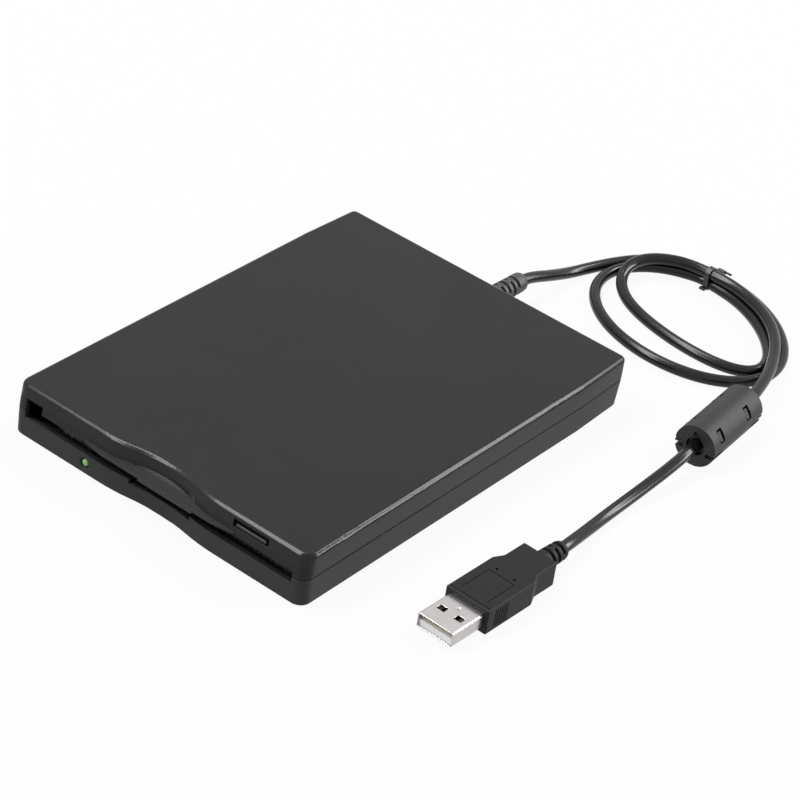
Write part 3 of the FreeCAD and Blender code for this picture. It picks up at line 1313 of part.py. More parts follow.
def make_choke():
    """A clip-on ferrite in two halves, each in its own half of the plastic cover."""
    length = S.choke_length
    core_radius = S.choke_radius - S.choke_wall - S.choke_core_gap
    cord_hole = S.cord_radius + 0.1
    inside = length - S.choke_end_wall * 2
    for word, low in (("lower", CHOKE_HEIGHT - 10), ("upper", CHOKE_HEIGHT)):

        def half_space(name):
            return box(f"{name}_{word}_space", (-10, 10), (-1, length + 1), (low, low + 10))

        def bar(name, radius, bar_length, start):
            return rod(f"{name}_{word}", "y", radius, bar_length, (0, start, CHOKE_HEIGHT))

        shell = cut(f"choke_{word}_shell", bar("choke_barrel", S.choke_radius, length, 0),
                    bar("choke_pocket", S.choke_radius - S.choke_wall, inside, S.choke_end_wall),
                    bar("choke_hole", cord_hole, length + 2, -1))
        placed(common(f"choke_{word}_cover", shell, half_space("choke")),
               f"choke_{word}_cover", CHOKE_PLACE)
        ferrite = cut(f"ferrite_{word}_ring",
                      bar("ferrite_bar", core_radius, inside - 0.2, S.choke_end_wall + 0.1),
                      bar("ferrite_hole", cord_hole, length, 0))
        placed(common(f"ferrite_{word}_half", ferrite, half_space("ferrite")),
               f"ferrite_{word}_half", CHOKE_PLACE)


def make_plug():
    """A USB A plug, lying flat, with its mouth at y = 0 in its own frame."""
    grip_front = S.plug_shell_length
    neck_front = grip_front + S.plug_grip_length
    neck_rear = neck_front + S.plug_neck_length
    half = S.plug_grip_width / 2
    neck = S.plug_neck_width / 2
    shoulder = neck_front - S.plug_neck_slope
    plan = outline("grip_plan", "xy", 0, [
        (-half, grip_front), (half, grip_front), (half, shoulder), (neck, neck_front),
        (neck, neck_rear), (-neck, neck_rear), (-neck, neck_front), (-half, shoulder),
    ])
    shell_half = S.plug_shell_width / 2
    shell_z = (PLUG_HEIGHT - S.plug_shell_height / 2, PLUG_HEIGHT + S.plug_shell_height / 2)
    shell_y = (0, grip_front + S.plug_shell_inside)
    seat = box("grip_seat", (-shell_half, shell_half), shell_y, shell_z)
    grip = raised("grip_block", plan, (0, 0, S.plug_grip_height))
    placed(cut("plug_grip", grip, seat), "plug_grip", PLUG_PLACE)

    sheet = S.plug_shell_sheet
    shell = box("shell_block", (-shell_half, shell_half), shell_y, shell_z)
    inside = box("shell_inside", (sheet - shell_half, shell_half - sheet), (-1, shell_y[1] + 1),
                 (shell_z[0] + sheet, shell_z[1] - sheet))
    holes = [box(f"latch_hole_{n}", (x - 1.25, x + 1.25), (5.1, 7.2), (shell_z[0] - 1, shell_z[1] + 1))
             for n, x in enumerate((-2.9, 2.9))]
    placed(cut("plug_shell", shell, inside, *holes), "plug_shell", PLUG_PLACE)

    tongue_low = shell_z[0] + sheet
    tongue_top = tongue_low + S.plug_tongue_thickness
    tongue = box("tongue_block", (sheet - shell_half, shell_half - sheet), (0.6, shell_y[1]),
                 (tongue_low, tongue_top))
    placed(group("plug_tongue", tongue), "plug_tongue", PLUG_PLACE)
    contacts = [box(f"contact_{n}", (x - 0.5, x + 0.5), (1.6, shell_y[1]), (tongue_top, tongue_top + 0.25))
                for n, x in enumerate((-3.5, -1.0, 1.0, 3.5))]
    placed(group("plug_contacts", *contacts), "plug_contacts", PLUG_PLACE)

    boot = cone("boot_cone", "y", S.plug_boot_radius, S.plug_boot_tip_radius, S.plug_boot_length,
                (0, neck_rear, PLUG_HEIGHT))
    grooves = []
    for n in range(3):
        y = neck_rear + 2.6 + 2.3 * n
        outer = rod(f"boot_groove_outer_{n}", "y", S.plug_boot_radius + 1, 1.1, (0, y, PLUG_HEIGHT))
        inner = rod(f"boot_groove_inner_{n}", "y", S.cord_radius + 0.45, 3.0, (0, y - 1, PLUG_HEIGHT))
        grooves.append(cut(f"boot_groove_{n}", outer, inner))
    placed(cut("plug_boot", boot, *grooves), "plug_boot", PLUG_PLACE)


# ---------------------------------------------------------------- build and check
make_top_cover()
make_bottom_case()
make_feet()
make_case_screws()
make_chassis()
make_chassis_screws()
make_drive_shield()
make_disk_holder()
make_holder_pins()
make_shutter_lever()
make_lever_pivot()
make_eject_slide()
make_eject_button()
make_eject_springs()
make_stator()
make_rotor()
make_rails()
make_stepper()
make_carriage()
make_head_arm()
make_boards()
make_light()
make_strain_relief()
make_tube("lead_wires", WIRES_ROUTE, S.wire_bundle_radius.value)
lead = make_tube("cord_lead", LEAD_ROUTE)
to_choke = make_tube("cord_to_choke", CHOKE_ROUTE)
make_tube("cord_to_plug", PLUG_ROUTE)
tie = make_cable_tie()
make_coil(lead, to_choke, tie)
make_choke()
make_plug()

doc.recompute()
for obj in doc.Objects:
    if "Invalid" in obj.State or "Error" in obj.State:
        raise RuntimeError(f"{obj.Name} failed: {obj.State}")
for node in NODES:
    if node.Shape.isNull() or not node.Shape.isValid():
        raise RuntimeError(f"{node.Label} has no valid shape")

os.makedirs("parts", exist_ok=True)
for node in NODES:
    node.Shape.exportStep(f"parts/{node.Label}.step")
    print(f"{node.Label}: {len(node.Shape.Solids)} solid(s), {node.Shape.Volume:.1f} mm3")
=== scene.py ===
"""Looks of the external floppy disk drive. Metres, +Z up, -Y is the front with the slot."""

import math

import bmesh
import bpy
from mathutils import Matrix, Vector


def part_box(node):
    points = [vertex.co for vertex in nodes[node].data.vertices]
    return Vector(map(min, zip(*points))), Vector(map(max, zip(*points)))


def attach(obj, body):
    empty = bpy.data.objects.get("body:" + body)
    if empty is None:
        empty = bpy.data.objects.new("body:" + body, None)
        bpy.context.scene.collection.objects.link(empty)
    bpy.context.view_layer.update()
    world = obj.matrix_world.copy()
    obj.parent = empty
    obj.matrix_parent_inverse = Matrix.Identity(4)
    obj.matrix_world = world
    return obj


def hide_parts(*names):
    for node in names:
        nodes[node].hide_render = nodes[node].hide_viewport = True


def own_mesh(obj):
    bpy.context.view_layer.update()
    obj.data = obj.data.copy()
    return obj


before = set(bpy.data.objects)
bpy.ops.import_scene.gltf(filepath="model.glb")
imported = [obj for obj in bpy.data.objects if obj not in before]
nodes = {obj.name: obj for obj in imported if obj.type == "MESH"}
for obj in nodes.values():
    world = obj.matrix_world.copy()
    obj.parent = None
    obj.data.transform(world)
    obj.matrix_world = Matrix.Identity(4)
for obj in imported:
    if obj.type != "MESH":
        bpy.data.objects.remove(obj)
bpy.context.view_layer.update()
scene = bpy.context.scene
MM = 0.001


# ---------------------------------------------------------------- camera
FOCAL_PIXELS = 3116.2346
IMAGE_PIXELS = 800
SENSOR_MM = 36.0
AZIMUTH = math.radians(34.359096)
ELEVATION = math.radians(34.315038)
ROLL = math.radians(-8.818200)
CAMERA_PLACE = Vector((427.6215, -589.1411, 506.5699)) * MM


def make_camera():
    back = Vector((math.sin(AZIMUTH) * math.cos(ELEVATION),
                   -math.cos(AZIMUTH) * math.cos(ELEVATION), math.sin(ELEVATION)))
    ahead = -back
    right = ahead.cross(Vector((0, 0, 1))).normalized()
    down = ahead.cross(right)
    image_x = right * math.cos(ROLL) + down * math.sin(ROLL)
    image_y = down * math.cos(ROLL) - right * math.sin(ROLL)
    data = bpy.data.cameras.new("photo_camera")
    data.sensor_fit = "HORIZONTAL"
    data.sensor_width = SENSOR_MM
    data.lens = FOCAL_PIXELS * SENSOR_MM / IMAGE_PIXELS
    data.clip_start = 0.01
    camera = bpy.data.objects.new("photo_camera", data)
    turn = Matrix((image_x, -image_y, back)).transposed().to_4x4()
    camera.matrix_world = Matrix.Translation(CAMERA_PLACE) @ turn
    scene.collection.objects.link(camera)
    bpy.context.scene.camera = camera


make_camera()


# ---------------------------------------------------------------- materials
# the sockets of a mix node that mixes colours
MIX_FACTOR, MIX_FIRST, MIX_SECOND, MIX_RESULT = 0, 6, 7, 2


class Nodes:
    """Short ways to add and join the shader nodes of one material."""

    def __init__(self, name):
        self.material = bpy.data.materials.new(name)
        self.material.use_nodes = True
        self.tree = self.material.node_tree
        self.shader = self.tree.nodes["Principled BSDF"]
        self.place = self.add("ShaderNodeTexCoord").outputs["Object"]

    def add(self, kind, **settings):
        node = self.tree.nodes.new(kind)
        for key, value in settings.items():
            setattr(node, key, value)
        return node

    def join(self, source, target):
        self.tree.links.new(source, target)

    def noise(self, scale, detail=2.0, stretch=(1, 1, 1)):
        mapping = self.add("ShaderNodeMapping")
        mapping.inputs["Scale"].default_value = stretch
        self.join(self.place, mapping.inputs["Vector"])
        texture = self.add("ShaderNodeTexNoise")
        texture.inputs["Scale"].default_value = scale
        texture.inputs["Detail"].default_value = detail
        self.join(mapping.outputs["Vector"], texture.inputs["Vector"])
        return texture.outputs["Fac"]

    def ranged(self, value, low, high, start=0.3, end=0.7):
        """From low to high while the value goes from start to end."""
        node = self.add("ShaderNodeMapRange")
        node.inputs["From Min"].default_value = start
        node.inputs["From Max"].default_value = end
        node.inputs["To Min"].default_value = low
        node.inputs["To Max"].default_value = high
        self.join(value, node.inputs["Value"])
        return node.outputs["Result"]

    def combined(self, operation, first, second):
        node = self.add("ShaderNodeMath", operation=operation)
        self.join(first, node.inputs[0])
        self.join(second, node.inputs[1])
        return node.outputs[0]

    def tone(self, value, first, second, start=0.3, end=0.7):
        """From one colour to another while the value goes from start to end."""
        node = self.add("ShaderNodeValToRGB")
        stops = ((start, first), (end, second))
        for element, (position, colour) in zip(node.color_ramp.elements, stops):
            element.position = position
            element.color = (*colour, 1)
        self.join(value, node.inputs["Fac"])
        return node.outputs["Color"]

    def bump(self, height, distance):
        node = self.add("ShaderNodeBump")
        node.inputs["Strength"].default_value = 1.0
        node.inputs["Distance"].default_value = distance
        self.join(height, node.inputs["Height"])
        self.join(node.outputs["Normal"], self.shader.inputs["Normal"])


def surface(name, colour, rough, spread=0.15, grain=2500, height=4e-6, patch=60, metallic=0.0,
            stretch=(1, 1, 1), specular=0.5, gloss_grain=None):
    """A finish with cloudy tone, uneven gloss and a fine grain, at the scale of the real one."""
    made = Nodes(name)
    shader = made.shader
    shader.inputs["Metallic"].default_value = metallic
    shader.inputs["Specular IOR Level"].default_value = specular
    cloud = made.noise(patch, 4.0, stretch)
    dark, light = [tuple(channel * factor for channel in colour)
                   for factor in (1 - spread, 1 + spread)]
    made.join(made.tone(cloud, dark, light), shader.inputs["Base Color"])
    speckle = made.noise(grain, 3.0, stretch)
    gloss = speckle if gloss_grain is None else made.noise(gloss_grain, 3.0, stretch)
    made.join(made.ranged(gloss, *rough), shader.inputs["Roughness"])
    made.bump(speckle, height)
    return made.material


def grey(value):
    return (value, value, value)


SURFACES = {
    # painted shade: the key is darker than the case, for the shade in the recess it sits in
    "button_plastic": dict(
        colour=(0.0050, 0.0050, 0.0053), rough=(0.40, 0.52), spread=0.12, grain=3000, height=8e-6),
    "foot_rubber": dict(
        colour=grey(0.018), rough=(0.7, 0.9), spread=0.25, grain=1800, height=2e-5),
    "screw_steel": dict(
        colour=grey(0.30), rough=(0.22, 0.42), grain=4000, height=3e-6, metallic=1.0),
    "zinc_sheet": dict(
        colour=(0.52, 0.53, 0.55), rough=(0.28, 0.48), spread=0.12, grain=900, height=3e-6,
        patch=120, metallic=1.0, stretch=(1, 4, 1)),
    "holder_steel": dict(
        colour=(0.42, 0.43, 0.45), rough=(0.25, 0.42), spread=0.10, grain=1400, height=3e-6,
        patch=90, metallic=1.0, stretch=(5, 1, 1)),
    "coil_copper": dict(
        colour=(0.62, 0.24, 0.10), rough=(0.25, 0.4), spread=0.2, grain=6000, height=2e-5,
        metallic=1.0),
    "bearing_brass": dict(
        colour=(0.62, 0.44, 0.16), rough=(0.2, 0.35), spread=0.12, height=3e-6, metallic=1.0),
    "motor_steel": dict(
        colour=(0.45, 0.45, 0.46), rough=(0.25, 0.4), spread=0.1, grain=2200, height=3e-6,
        metallic=1.0),
    "rod_steel": dict(
        colour=(0.60, 0.60, 0.61), rough=(0.08, 0.18), spread=0.06, grain=3000, height=1e-6,
        metallic=1.0, stretch=(1, 0.1, 1)),
    "carriage_plastic": dict(colour=(0.03, 0.03, 0.032), rough=(0.4, 0.55)),
    "head_ceramic": dict(
        colour=(0.62, 0.60, 0.55), rough=(0.15, 0.3), spread=0.06, grain=3000, height=1e-6),
    "chip_plastic": dict(
        colour=grey(0.022), rough=(0.45, 0.6), spread=0.2, grain=5000, height=8e-6),
    "socket_plastic": dict(colour=(0.68, 0.64, 0.52), rough=(0.35, 0.5), spread=0.06),
    "wire_plastic": dict(colour=(0.06, 0.06, 0.065), rough=(0.35, 0.5), spread=0.3),
    "spring_steel": dict(
        colour=(0.50, 0.50, 0.52), rough=(0.15, 0.3), spread=0.1, metallic=1.0),
    "magnet_ferrite": dict(
        colour=grey(0.05), rough=(0.5, 0.7), spread=0.25, grain=3500, height=8e-6),
    "cord_pvc": dict(
        colour=grey(0.0060), rough=(0.17, 0.24), grain=2600, height=4e-7, patch=120, specular=0.3,
        gloss_grain=70),
    "relief_pvc": dict(colour=grey(0.030), rough=(0.42, 0.55), height=1.2e-5, patch=90),
    "tie_nylon": dict(colour=grey(0.012), rough=(0.28, 0.42), height=3e-6),
    "choke_plastic": dict(
        colour=(0.0165, 0.0168, 0.0172), rough=(0.40, 0.54), grain=3600, height=1.6e-5, patch=80,
        specular=0.3),
    "ferrite": dict(colour=grey(0.12), rough=(0.3, 0.5), spread=0.3, grain=4000, height=1e-5),
    "plug_plastic": dict(
        colour=(0.0085, 0.0086, 0.0088), rough=(0.42, 0.55), spread=0.14, grain=3400, height=1e-5,
        patch=80, specular=0.17),
    "plug_steel": dict(
        colour=(0.53, 0.51, 0.505), rough=(0.20, 0.34), spread=0.05, grain=2600, height=1.5e-6,
        patch=150, metallic=1.0, stretch=(1, 3, 1)),
    "tongue_plastic": dict(colour=grey(0.74), rough=(0.35, 0.5), spread=0.05),
    "contact_gold": dict(
        colour=(0.78, 0.52, 0.18), rough=(0.12, 0.25), spread=0.08, metallic=1.0),
}
FINISHES = {name: surface(name, **settings) for name, settings in SURFACES.items()}

# where the dull finish of the front fades out: along Y, and along Z at the rim; and where the
# painted light on the lower front fades out: along Z at the lip
FRONT_FADE = (-0.0700, -0.0655)
RIM_FADE = (0.0124, 0.0142)
LIP_PAINTED_LIGHT_FADE = (0.0085, 0.0100)


def make_case_plastic():
    """Satin plastic. The front face and the scoop are duller than the rest. The lower front has a
    paler colour than the rest: painted light against the shade the lamps leave on it.
    """
    made = Nodes("case_plastic")
    shader = made.shader
    place = made.add("ShaderNodeSeparateXYZ")
    made.join(made.place, place.inputs["Vector"])
    front = made.ranged(place.outputs["Y"], 1, 0, *FRONT_FADE)
    dull = made.combined("MULTIPLY", front, made.ranged(place.outputs["Z"], 1, 0, *RIM_FADE))
    # painted light: below the lip the front gets the paler second colour, to make up for the shade
    # the lamps leave on that face
    lower_front_painted_light = made.combined("MULTIPLY", front, made.ranged(place.outputs["Z"], 1, 0, *LIP_PAINTED_LIGHT_FADE))
    cloud = made.noise(40, 4.0)
    tone = made.add("ShaderNodeMix", data_type="RGBA")
    made.join(lower_front_painted_light, tone.inputs[MIX_FACTOR])
    made.join(made.tone(cloud, (0.0078, 0.0079, 0.0082), (0.0098, 0.0099, 0.0102)),
              tone.inputs[MIX_FIRST])
    # painted light: the paler colour of the lower front
    made.join(made.tone(cloud, (0.0190, 0.0193, 0.0200), (0.0235, 0.0238, 0.0245)),
              tone.inputs[MIX_SECOND])
    made.join(tone.outputs[MIX_RESULT], shader.inputs["Base Color"])
    grain = made.noise(3200, 3.0)
    rough = made.combined("ADD", made.ranged(grain, 0.34, 0.44), made.ranged(dull, 0.0, 0.24, 0, 1))
    made.join(rough, shader.inputs["Roughness"])
    made.join(made.ranged(dull, 0.05, 0.22, 0, 1), shader.inputs["Specular IOR Level"])
    made.join(made.ranged(dull, 0.36, 0.0, 0, 1), shader.inputs["Coat Weight"])
    shader.inputs["Coat Roughness"].default_value = 0.17
    made.bump(grain, 8e-6)
    return made.material


def make_lens():
    """Clouded green plastic that lets some light through."""
    made = Nodes("light_lens")
    shader = made.shader
    shader.inputs["Transmission Weight"].default_value = 0.25
    shader.inputs["Subsurface Weight"].default_value = 0.3
    shader.inputs["Subsurface Scale"].default_value = 0.0006
    cloud = made.noise(900)
    made.join(made.tone(cloud, (0.16, 0.38, 0.08), (0.34, 0.60, 0.20)),
              shader.inputs["Base Color"])
    made.join(made.ranged(cloud, 0.15, 0.3), shader.inputs["Roughness"])
    made.bump(cloud, 6e-6)
    return made.material


def make_board():
    """Green solder mask over faint copper tracks."""
    made = Nodes("circuit_board")
    shader = made.shader
    shader.inputs["Coat Weight"].default_value = 0.4
    brick = made.add("ShaderNodeTexBrick", offset=0.37)
    brick.inputs["Scale"].default_value = 420
    brick.inputs["Mortar Size"].default_value = 0.035
    brick.inputs["Color1"].default_value = (0.010, 0.085, 0.035, 1)
    brick.inputs["Color2"].default_value = (0.012, 0.10, 0.042, 1)
    brick.inputs["Mortar"].default_value = (0.03, 0.19, 0.07, 1)
    made.join(made.place, brick.inputs["Vector"])
    made.join(brick.outputs["Color"], shader.inputs["Base Color"])
    made.join(made.ranged(made.noise(1800), 0.28, 0.45), shader.inputs["Roughness"])
    made.bump(brick.outputs["Fac"], 1.5e-5)
    return made.material


def make_ribbon():
    """Flat cable, with a ridge for each of its wires."""
    made = Nodes("ribbon_plastic")
    wave = made.add("ShaderNodeTexWave", bands_direction="X")
    wave.inputs["Scale"].default_value = 320
    made.join(made.place, wave.inputs["Vector"])
    stripes = made.tone(wave.outputs["Fac"], (0.70, 0.68, 0.62), (0.45, 0.45, 0.44), 0.2, 0.8)
    made.join(stripes, made.shader.inputs["Base Color"])
    made.join(made.ranged(made.noise(1500), 0.3, 0.45), made.shader.inputs["Roughness"])
    made.bump(wave.outputs["Fac"], 4e-5)
    return made.material


FINISHES["case_plastic"] = make_case_plastic()
FINISHES["light_lens"] = make_lens()
FINISHES["circuit_board"] = make_board()
FINISHES["ribbon_plastic"] = make_ribbon()

for node in nodes.values():
    for place in node.material_slots:
        place.material = FINISHES[place.material.name.split(".")[0]]


# ---------------------------------------------------------------- cord
def link(name, data, slot, body="case", replaced=()):
    """Puts a piece into the scene, with its finish, its body and the nodes it replaces."""
    piece = bpy.data.objects.new(name, data)
    scene.collection.objects.link(piece)
    data.materials.append(FINISHES[slot])
    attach(piece, body)
    if replaced:
        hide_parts(*replaced)
    return piece


CORD_RADIUS = 1.8
LEAD = [
    (-1.0, 90.5, 7.6), (-0.9, 94.6, 7.5), (-0.3, 99.2, 6.6), (0.5, 104.4, 5.2), (0.9, 110.2, 3.5),
    (1.7, 116.4, 2.2), (3.7, 124.0, 1.8), (6.7, 132.0, 1.8), (10.9, 139.8, 1.8), (16.6, 146.0, 1.8),
    (23.6, 149.8, 1.8),
]
# each loose turn: middle, drift, and how far each wave swings along x and along y
OUTER_TURN = dict(
    middle=(42.2, 122.9), drift=(2.0, -3.8), cosine=(-13.4, 25.0), sine=(30.7, 6.5),
    second_cosine=(0.4, 0.5), second_sine=(0.0, -0.1), start=0.10, end=6.24, swell=1.012)
INNER_TURN = dict(
    middle=(41.7, 126.9), drift=(-2.4, 1.6), cosine=(-13.5, 18.3), sine=(25.8, 3.0),
    second_cosine=(0.2, 1.1), second_sine=(-0.9, 1.1), start=0.20, end=6.20, swell=0.998)
TURN_POINTS = 17
# the end of the inner turn climbs over the outer one and over the lead, moves aside, and sags
CLIMB = 3.8
CLIMB_ASIDE = (0.18, -0.29)
SAG = 0.3
TO_CHOKE = [
    (39.2, 146.1, 5.3), (47.4, 144.5, 5.2), (55.5, 141.3, 5.1), (63.0, 136.0, 5.2),
    (69.2, 128.8, 5.3), (73.6, 120.9, 5.4), (77.0, 113.1, 5.7), (79.4, 105.3, 6.1),
    (81.2, 98.2, 6.5), (81.8, 91.8, 6.5),
]
CHOKE_PLACE = (84.35, 63.45, 6.5)
CHOKE_TURN = 5.2
THROUGH_CHOKE = [(82.5, 83.4, 6.5), (83.5, 72.4, 6.5), CHOKE_PLACE]
TO_PLUG = [
    (84.9, 57.5, 6.3), (84.75, 49.8, 5.0), (84.2, 41.0, 3.5), (83.8, 31.6, 2.4), (83.8, 22.4, 2.0),
    (84.5, 13.2, 2.4), (85.5, 5.0, 3.5), (85.93, -1.7, 3.9), (85.75, -8.0, 3.9),
]
PLUG_PLACE = (84.4, -55.2, 3.9)
PLUG_TURN = -1.64


def turn_points(turn):
    """Control points round one turn. A quadratic spline runs a little inside them."""
    placed = []
    for n in range(TURN_POINTS):
        u = turn["start"] + (turn["end"] - turn["start"]) * n / (TURN_POINTS - 1)
        waves = (math.cos(u), math.sin(u), math.cos(2 * u), math.sin(2 * u))
        point = []
        for axis in (0, 1):
            swings = [turn[key][axis] for key in ("cosine", "sine", "second_cosine", "second_sine")]
            value = turn["middle"][axis] + turn["drift"][axis] * (u / math.tau - 0.5)
            point.append(value + turn["swell"] * sum(w * s for w, s in zip(waves, swings)))
        placed.append((*point, CORD_RADIUS))
    return placed


def eased(value, start, end):
    """0 before start, 1 after end, and a smooth climb between."""
    share = min(1.0, max(0.0, (value - start) / (end - start)))
    return share * share * (3 - 2 * share)


def cord_route():
    outer = turn_points(OUTER_TURN)
    inner = turn_points(INNER_TURN)
    last = len(inner) - 1
    for n, (x, y, z) in enumerate(inner):
        climb = CLIMB * eased(n / last, 0.70, 0.86) - SAG * eased(n / last, 0.9, 1.0)
        inner[n] = (x + CLIMB_ASIDE[0] * climb, y + CLIMB_ASIDE[1] * climb, z + climb)
    return LEAD + outer + inner + TO_CHOKE + THROUGH_CHOKE + TO_PLUG


def spline_curve(name, route, radius):
    data = bpy.data.curves.new(name, "CURVE")
    data.dimensions = "3D"
    spline = data.splines.new("NURBS")
    spline.points.add(len(route) - 1)
    for point, place in zip(spline.points, route):
        point.co = (*(Vector(place) * MM), 1)
    spline.order_u = 3
    spline.use_endpoint_u = True
    spline.resolution_u = 16
    data.bevel_depth = radius * MM
    data.bevel_resolution = 8
    data.use_fill_caps = True
    return data


cord = link("data_cord", spline_curve("data_cord", cord_route(), CORD_RADIUS), "cord_pvc",
            replaced=("cord_lead", "cord_coil", "cord_to_choke", "cord_to_plug"))


# ---------------------------------------------------------------- mesh helpers
SHARP = math.radians(32)


def finished(name, bm, slot, body="case", replaced=(), edge=0.0, segments=2):
    """A piece from a bmesh, with its sharp edges rounded off and even shading."""
    bmesh.ops.remove_doubles(bm, verts=bm.verts, dist=1e-7)
    bmesh.ops.recalc_face_normals(bm, faces=bm.faces)
    for face in bm.faces:
        face.smooth = True
    for line in bm.edges:
        line.smooth = len(line.link_faces) == 2 and line.calc_face_angle(0) < SHARP
    mesh = bpy.data.meshes.new(name)
    bm.to_mesh(mesh)
    bm.free()
    piece = link(name, mesh, slot, body, replaced)
    if edge:
        bevel = piece.modifiers.new("edges", "BEVEL")
        bevel.width = edge * MM
        bevel.segments = segments
        bevel.limit_method = "ANGLE"
        bevel.angle_limit = SHARP
        bevel.use_clamp_overlap = True
    piece.modifiers.new("shading", "WEIGHTED_NORMAL").keep_sharp = True
    return piece


def cad_shape(node):
    """A cleaned copy of a CAD node's mesh, with its flat faces whole again."""
    bm = bmesh.new()
    bm.from_mesh(nodes[node].data)
    bmesh.ops.remove_doubles(bm, verts=bm.verts, dist=1e-6)
    bmesh.ops.dissolve_limit(bm, angle_limit=math.radians(0.4), verts=bm.verts, edges=bm.edges)
    return bm


def prism(bm, outline, low, high, axis=2):
    """A closed block with an outline in the other two axes, in mm."""
    others = [n for n in (0, 1, 2) if n != axis]
    rings = []
    for level in (low, high):
        ring = []
        for u, v in outline:
            place = [0.0, 0.0, 0.0]
            place[axis] = level
            place[others[0]] = u
            place[others[1]] = v
            ring.append(bm.verts.new(Vector(place) * MM))
        rings.append(ring)
    count = len(outline)
    for n in range(count):
        after = (n + 1) % count
        bm.faces.new((rings[0][n], rings[0][after], rings[1][after], rings[1][n]))
    bm.faces.new(rings[0])
    bm.faces.new(rings[1])


def block(bm, x, y, z):
    prism(bm, [(x[0], y[0]), (x[1], y[0]), (x[1], y[1]), (x[0], y[1])], z[0], z[1])


def arc(centre, radius, start, end, count):
    angles = [math.radians(start + (end - start) * n / count) for n in range(count + 1)]
    return [(centre[0] + radius * math.cos(a), centre[1] + radius * math.sin(a)) for a in angles]


def circle(centre, radius, count):
    return arc(centre, radius, 0, 360 - 360 / count, count - 1)


def rounded_outline(half_width, half_height, radius, count, centre=(0, 0)):
    """A rectangle with round corners."""
    outline = []
    for n, (sx, sy) in enumerate(((1, 1), (-1, 1), (-1, -1), (1, -1))):
        corner = (centre[0] + sx * (half_width - radius), centre[1] + sy * (half_height - radius))
        outline += arc(corner, radius, 90 * n, 90 * n + 90, count)
    return outline


def turned(bm, profile, count=64, reach=None):
    """A body turned about the Y axis. The profile lists (y, radius) from end to end, in mm.
    reach(y, angle) may take something off the radius."""
    rings = []
    for y, radius in profile:
        if radius == 0:
            rings.append([bm.verts.new((0, y * MM, 0))])
            continue
        ring = []
        for n in range(count):
            angle = math.tau * n / count
            here = radius - (reach(y, angle) if reach else 0)
            place = (here * math.cos(angle) * MM, y * MM, here * math.sin(angle) * MM)
            ring.append(bm.verts.new(place))
        rings.append(ring)
    for one, two in zip(rings, rings[1:]):
        for n in range(count):
            after = (n + 1) % count
            if len(one) == 1:
                bm.faces.new((one[0], two[n], two[after]))
            elif len(two) == 1:
                bm.faces.new((one[n], one[after], two[0]))
            else:
                bm.faces.new((one[n], one[after], two[after], two[n]))


def shaped(object_with_modifiers):
    """The mesh of an object with its modifiers or its curve worked out."""
    bpy.context.view_layer.update()
    depsgraph = bpy.context.evaluated_depsgraph_get()
    return bpy.data.meshes.new_from_object(object_with_modifiers.evaluated_get(depsgraph))


def cut_out(bm, cutter):
    """The first mesh with the second one taken out of it."""
    made = []
    for name, source in (("base", bm), ("cutter", cutter)):
        bmesh.ops.recalc_face_normals(source, faces=source.faces)
        mesh = bpy.data.meshes.new(name)
        source.to_mesh(mesh)
        source.free()
        thing = bpy.data.objects.new(name, mesh)
        scene.collection.objects.link(thing)
        made.append(thing)
    modifier = made[0].modifiers.new("cut", "BOOLEAN")
    modifier.operation = "DIFFERENCE"
    modifier.object = made[1]
    modifier.solver = "EXACT"
    result = shaped(made[0])
    fresh = bmesh.new()
    fresh.from_mesh(result)
    for thing in made:
        mesh = thing.data
        bpy.data.objects.remove(thing)
        bpy.data.meshes.remove(mesh)
    bpy.data.meshes.remove(result)
    bmesh.ops.dissolve_limit(fresh, angle_limit=math.radians(0.3), verts=fresh.verts,
                             edges=fresh.edges)
    return fresh


def cut_prism(bm, outline, low, high, axis=2):
    cutter = bmesh.new()
    prism(cutter, outline, low, high, axis)
    return cut_out(bm, cutter)


def cut_block(bm, x, y, z):
    cutter = bmesh.new()
    block(cutter, x, y, z)
    return cut_out(bm, cutter)


def add_shape(bm, other):
    """Adds a second mesh to the first, as it is."""
    mesh = bpy.data.meshes.new("added")
    other.to_mesh(mesh)
    other.free()
    bm.from_mesh(mesh)
    bpy.data.meshes.remove(mesh)


def moved(bm, place, turn=0.0):
    """Shifts a mesh to a place in mm, after turning it about Z by degrees."""
    matrix = Matrix.Translation(Vector(place) * MM) @ Matrix.Rotation(math.radians(turn), 4, "Z")
    bmesh.ops.transform(bm, matrix=matrix, verts=bm.verts)


# ---------------------------------------------------------------- case
# an edge shows on the outside where it lies beyond these
OUTSIDE_X = 49.5
OUTSIDE_FRONT = -69.9
OUTSIDE_REAR = 71.0
OUTSIDE_ANGLE = math.radians(38)
SHORTEST_EDGE = 0.25
EDGE_RADIUS = 0.22
SEAM = 8.95

FRONT = -71.7
SCOOP_MIDDLE = 0.9
SCOOP_HALF = 21.0
SCOOP_SWING = 0.9
SLOT_HALF = 48.5
LIP_BEAD = 0.6
GROOVE_REACH = 3.4
GROOVE_LEVELS = (6.2, 7.4)


def light_axis():
    """The point on the light's axis where Y is 0."""
    low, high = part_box("status_led")
    return ((low.x + high.x) / 2, 0, (low.z + high.z) / 2)


def light_well():
    """A shallow countersink round the light."""
    bm = bmesh.new()
    turned(bm, [(-73.5, 0), (-73.5, 2.2), (-71.75, 1.72), (-71.0, 1.45), (-71.0, 0)], 40)
    bmesh.ops.translate(bm, vec=light_axis(), verts=bm.verts)
    return bm


def lip_groove():
    """The hollow behind the thin bead that the lip of the slot ends in."""
    steps = 60
    near, far = [], []
    for n in range(steps + 1):
        x = -SLOT_HALF + 2 * SLOT_HALF * n / steps
        across = min(1.0, abs(x - SCOOP_MIDDLE) / SCOOP_HALF)
        inset = SCOOP_SWING * (1 + math.cos(math.pi * across))
        near.append((x, FRONT + inset + LIP_BEAD))
        far.append((x, FRONT + GROOVE_REACH))
    bm = bmesh.new()
    prism(bm, near + far[::-1], *GROOVE_LEVELS)
    return bm


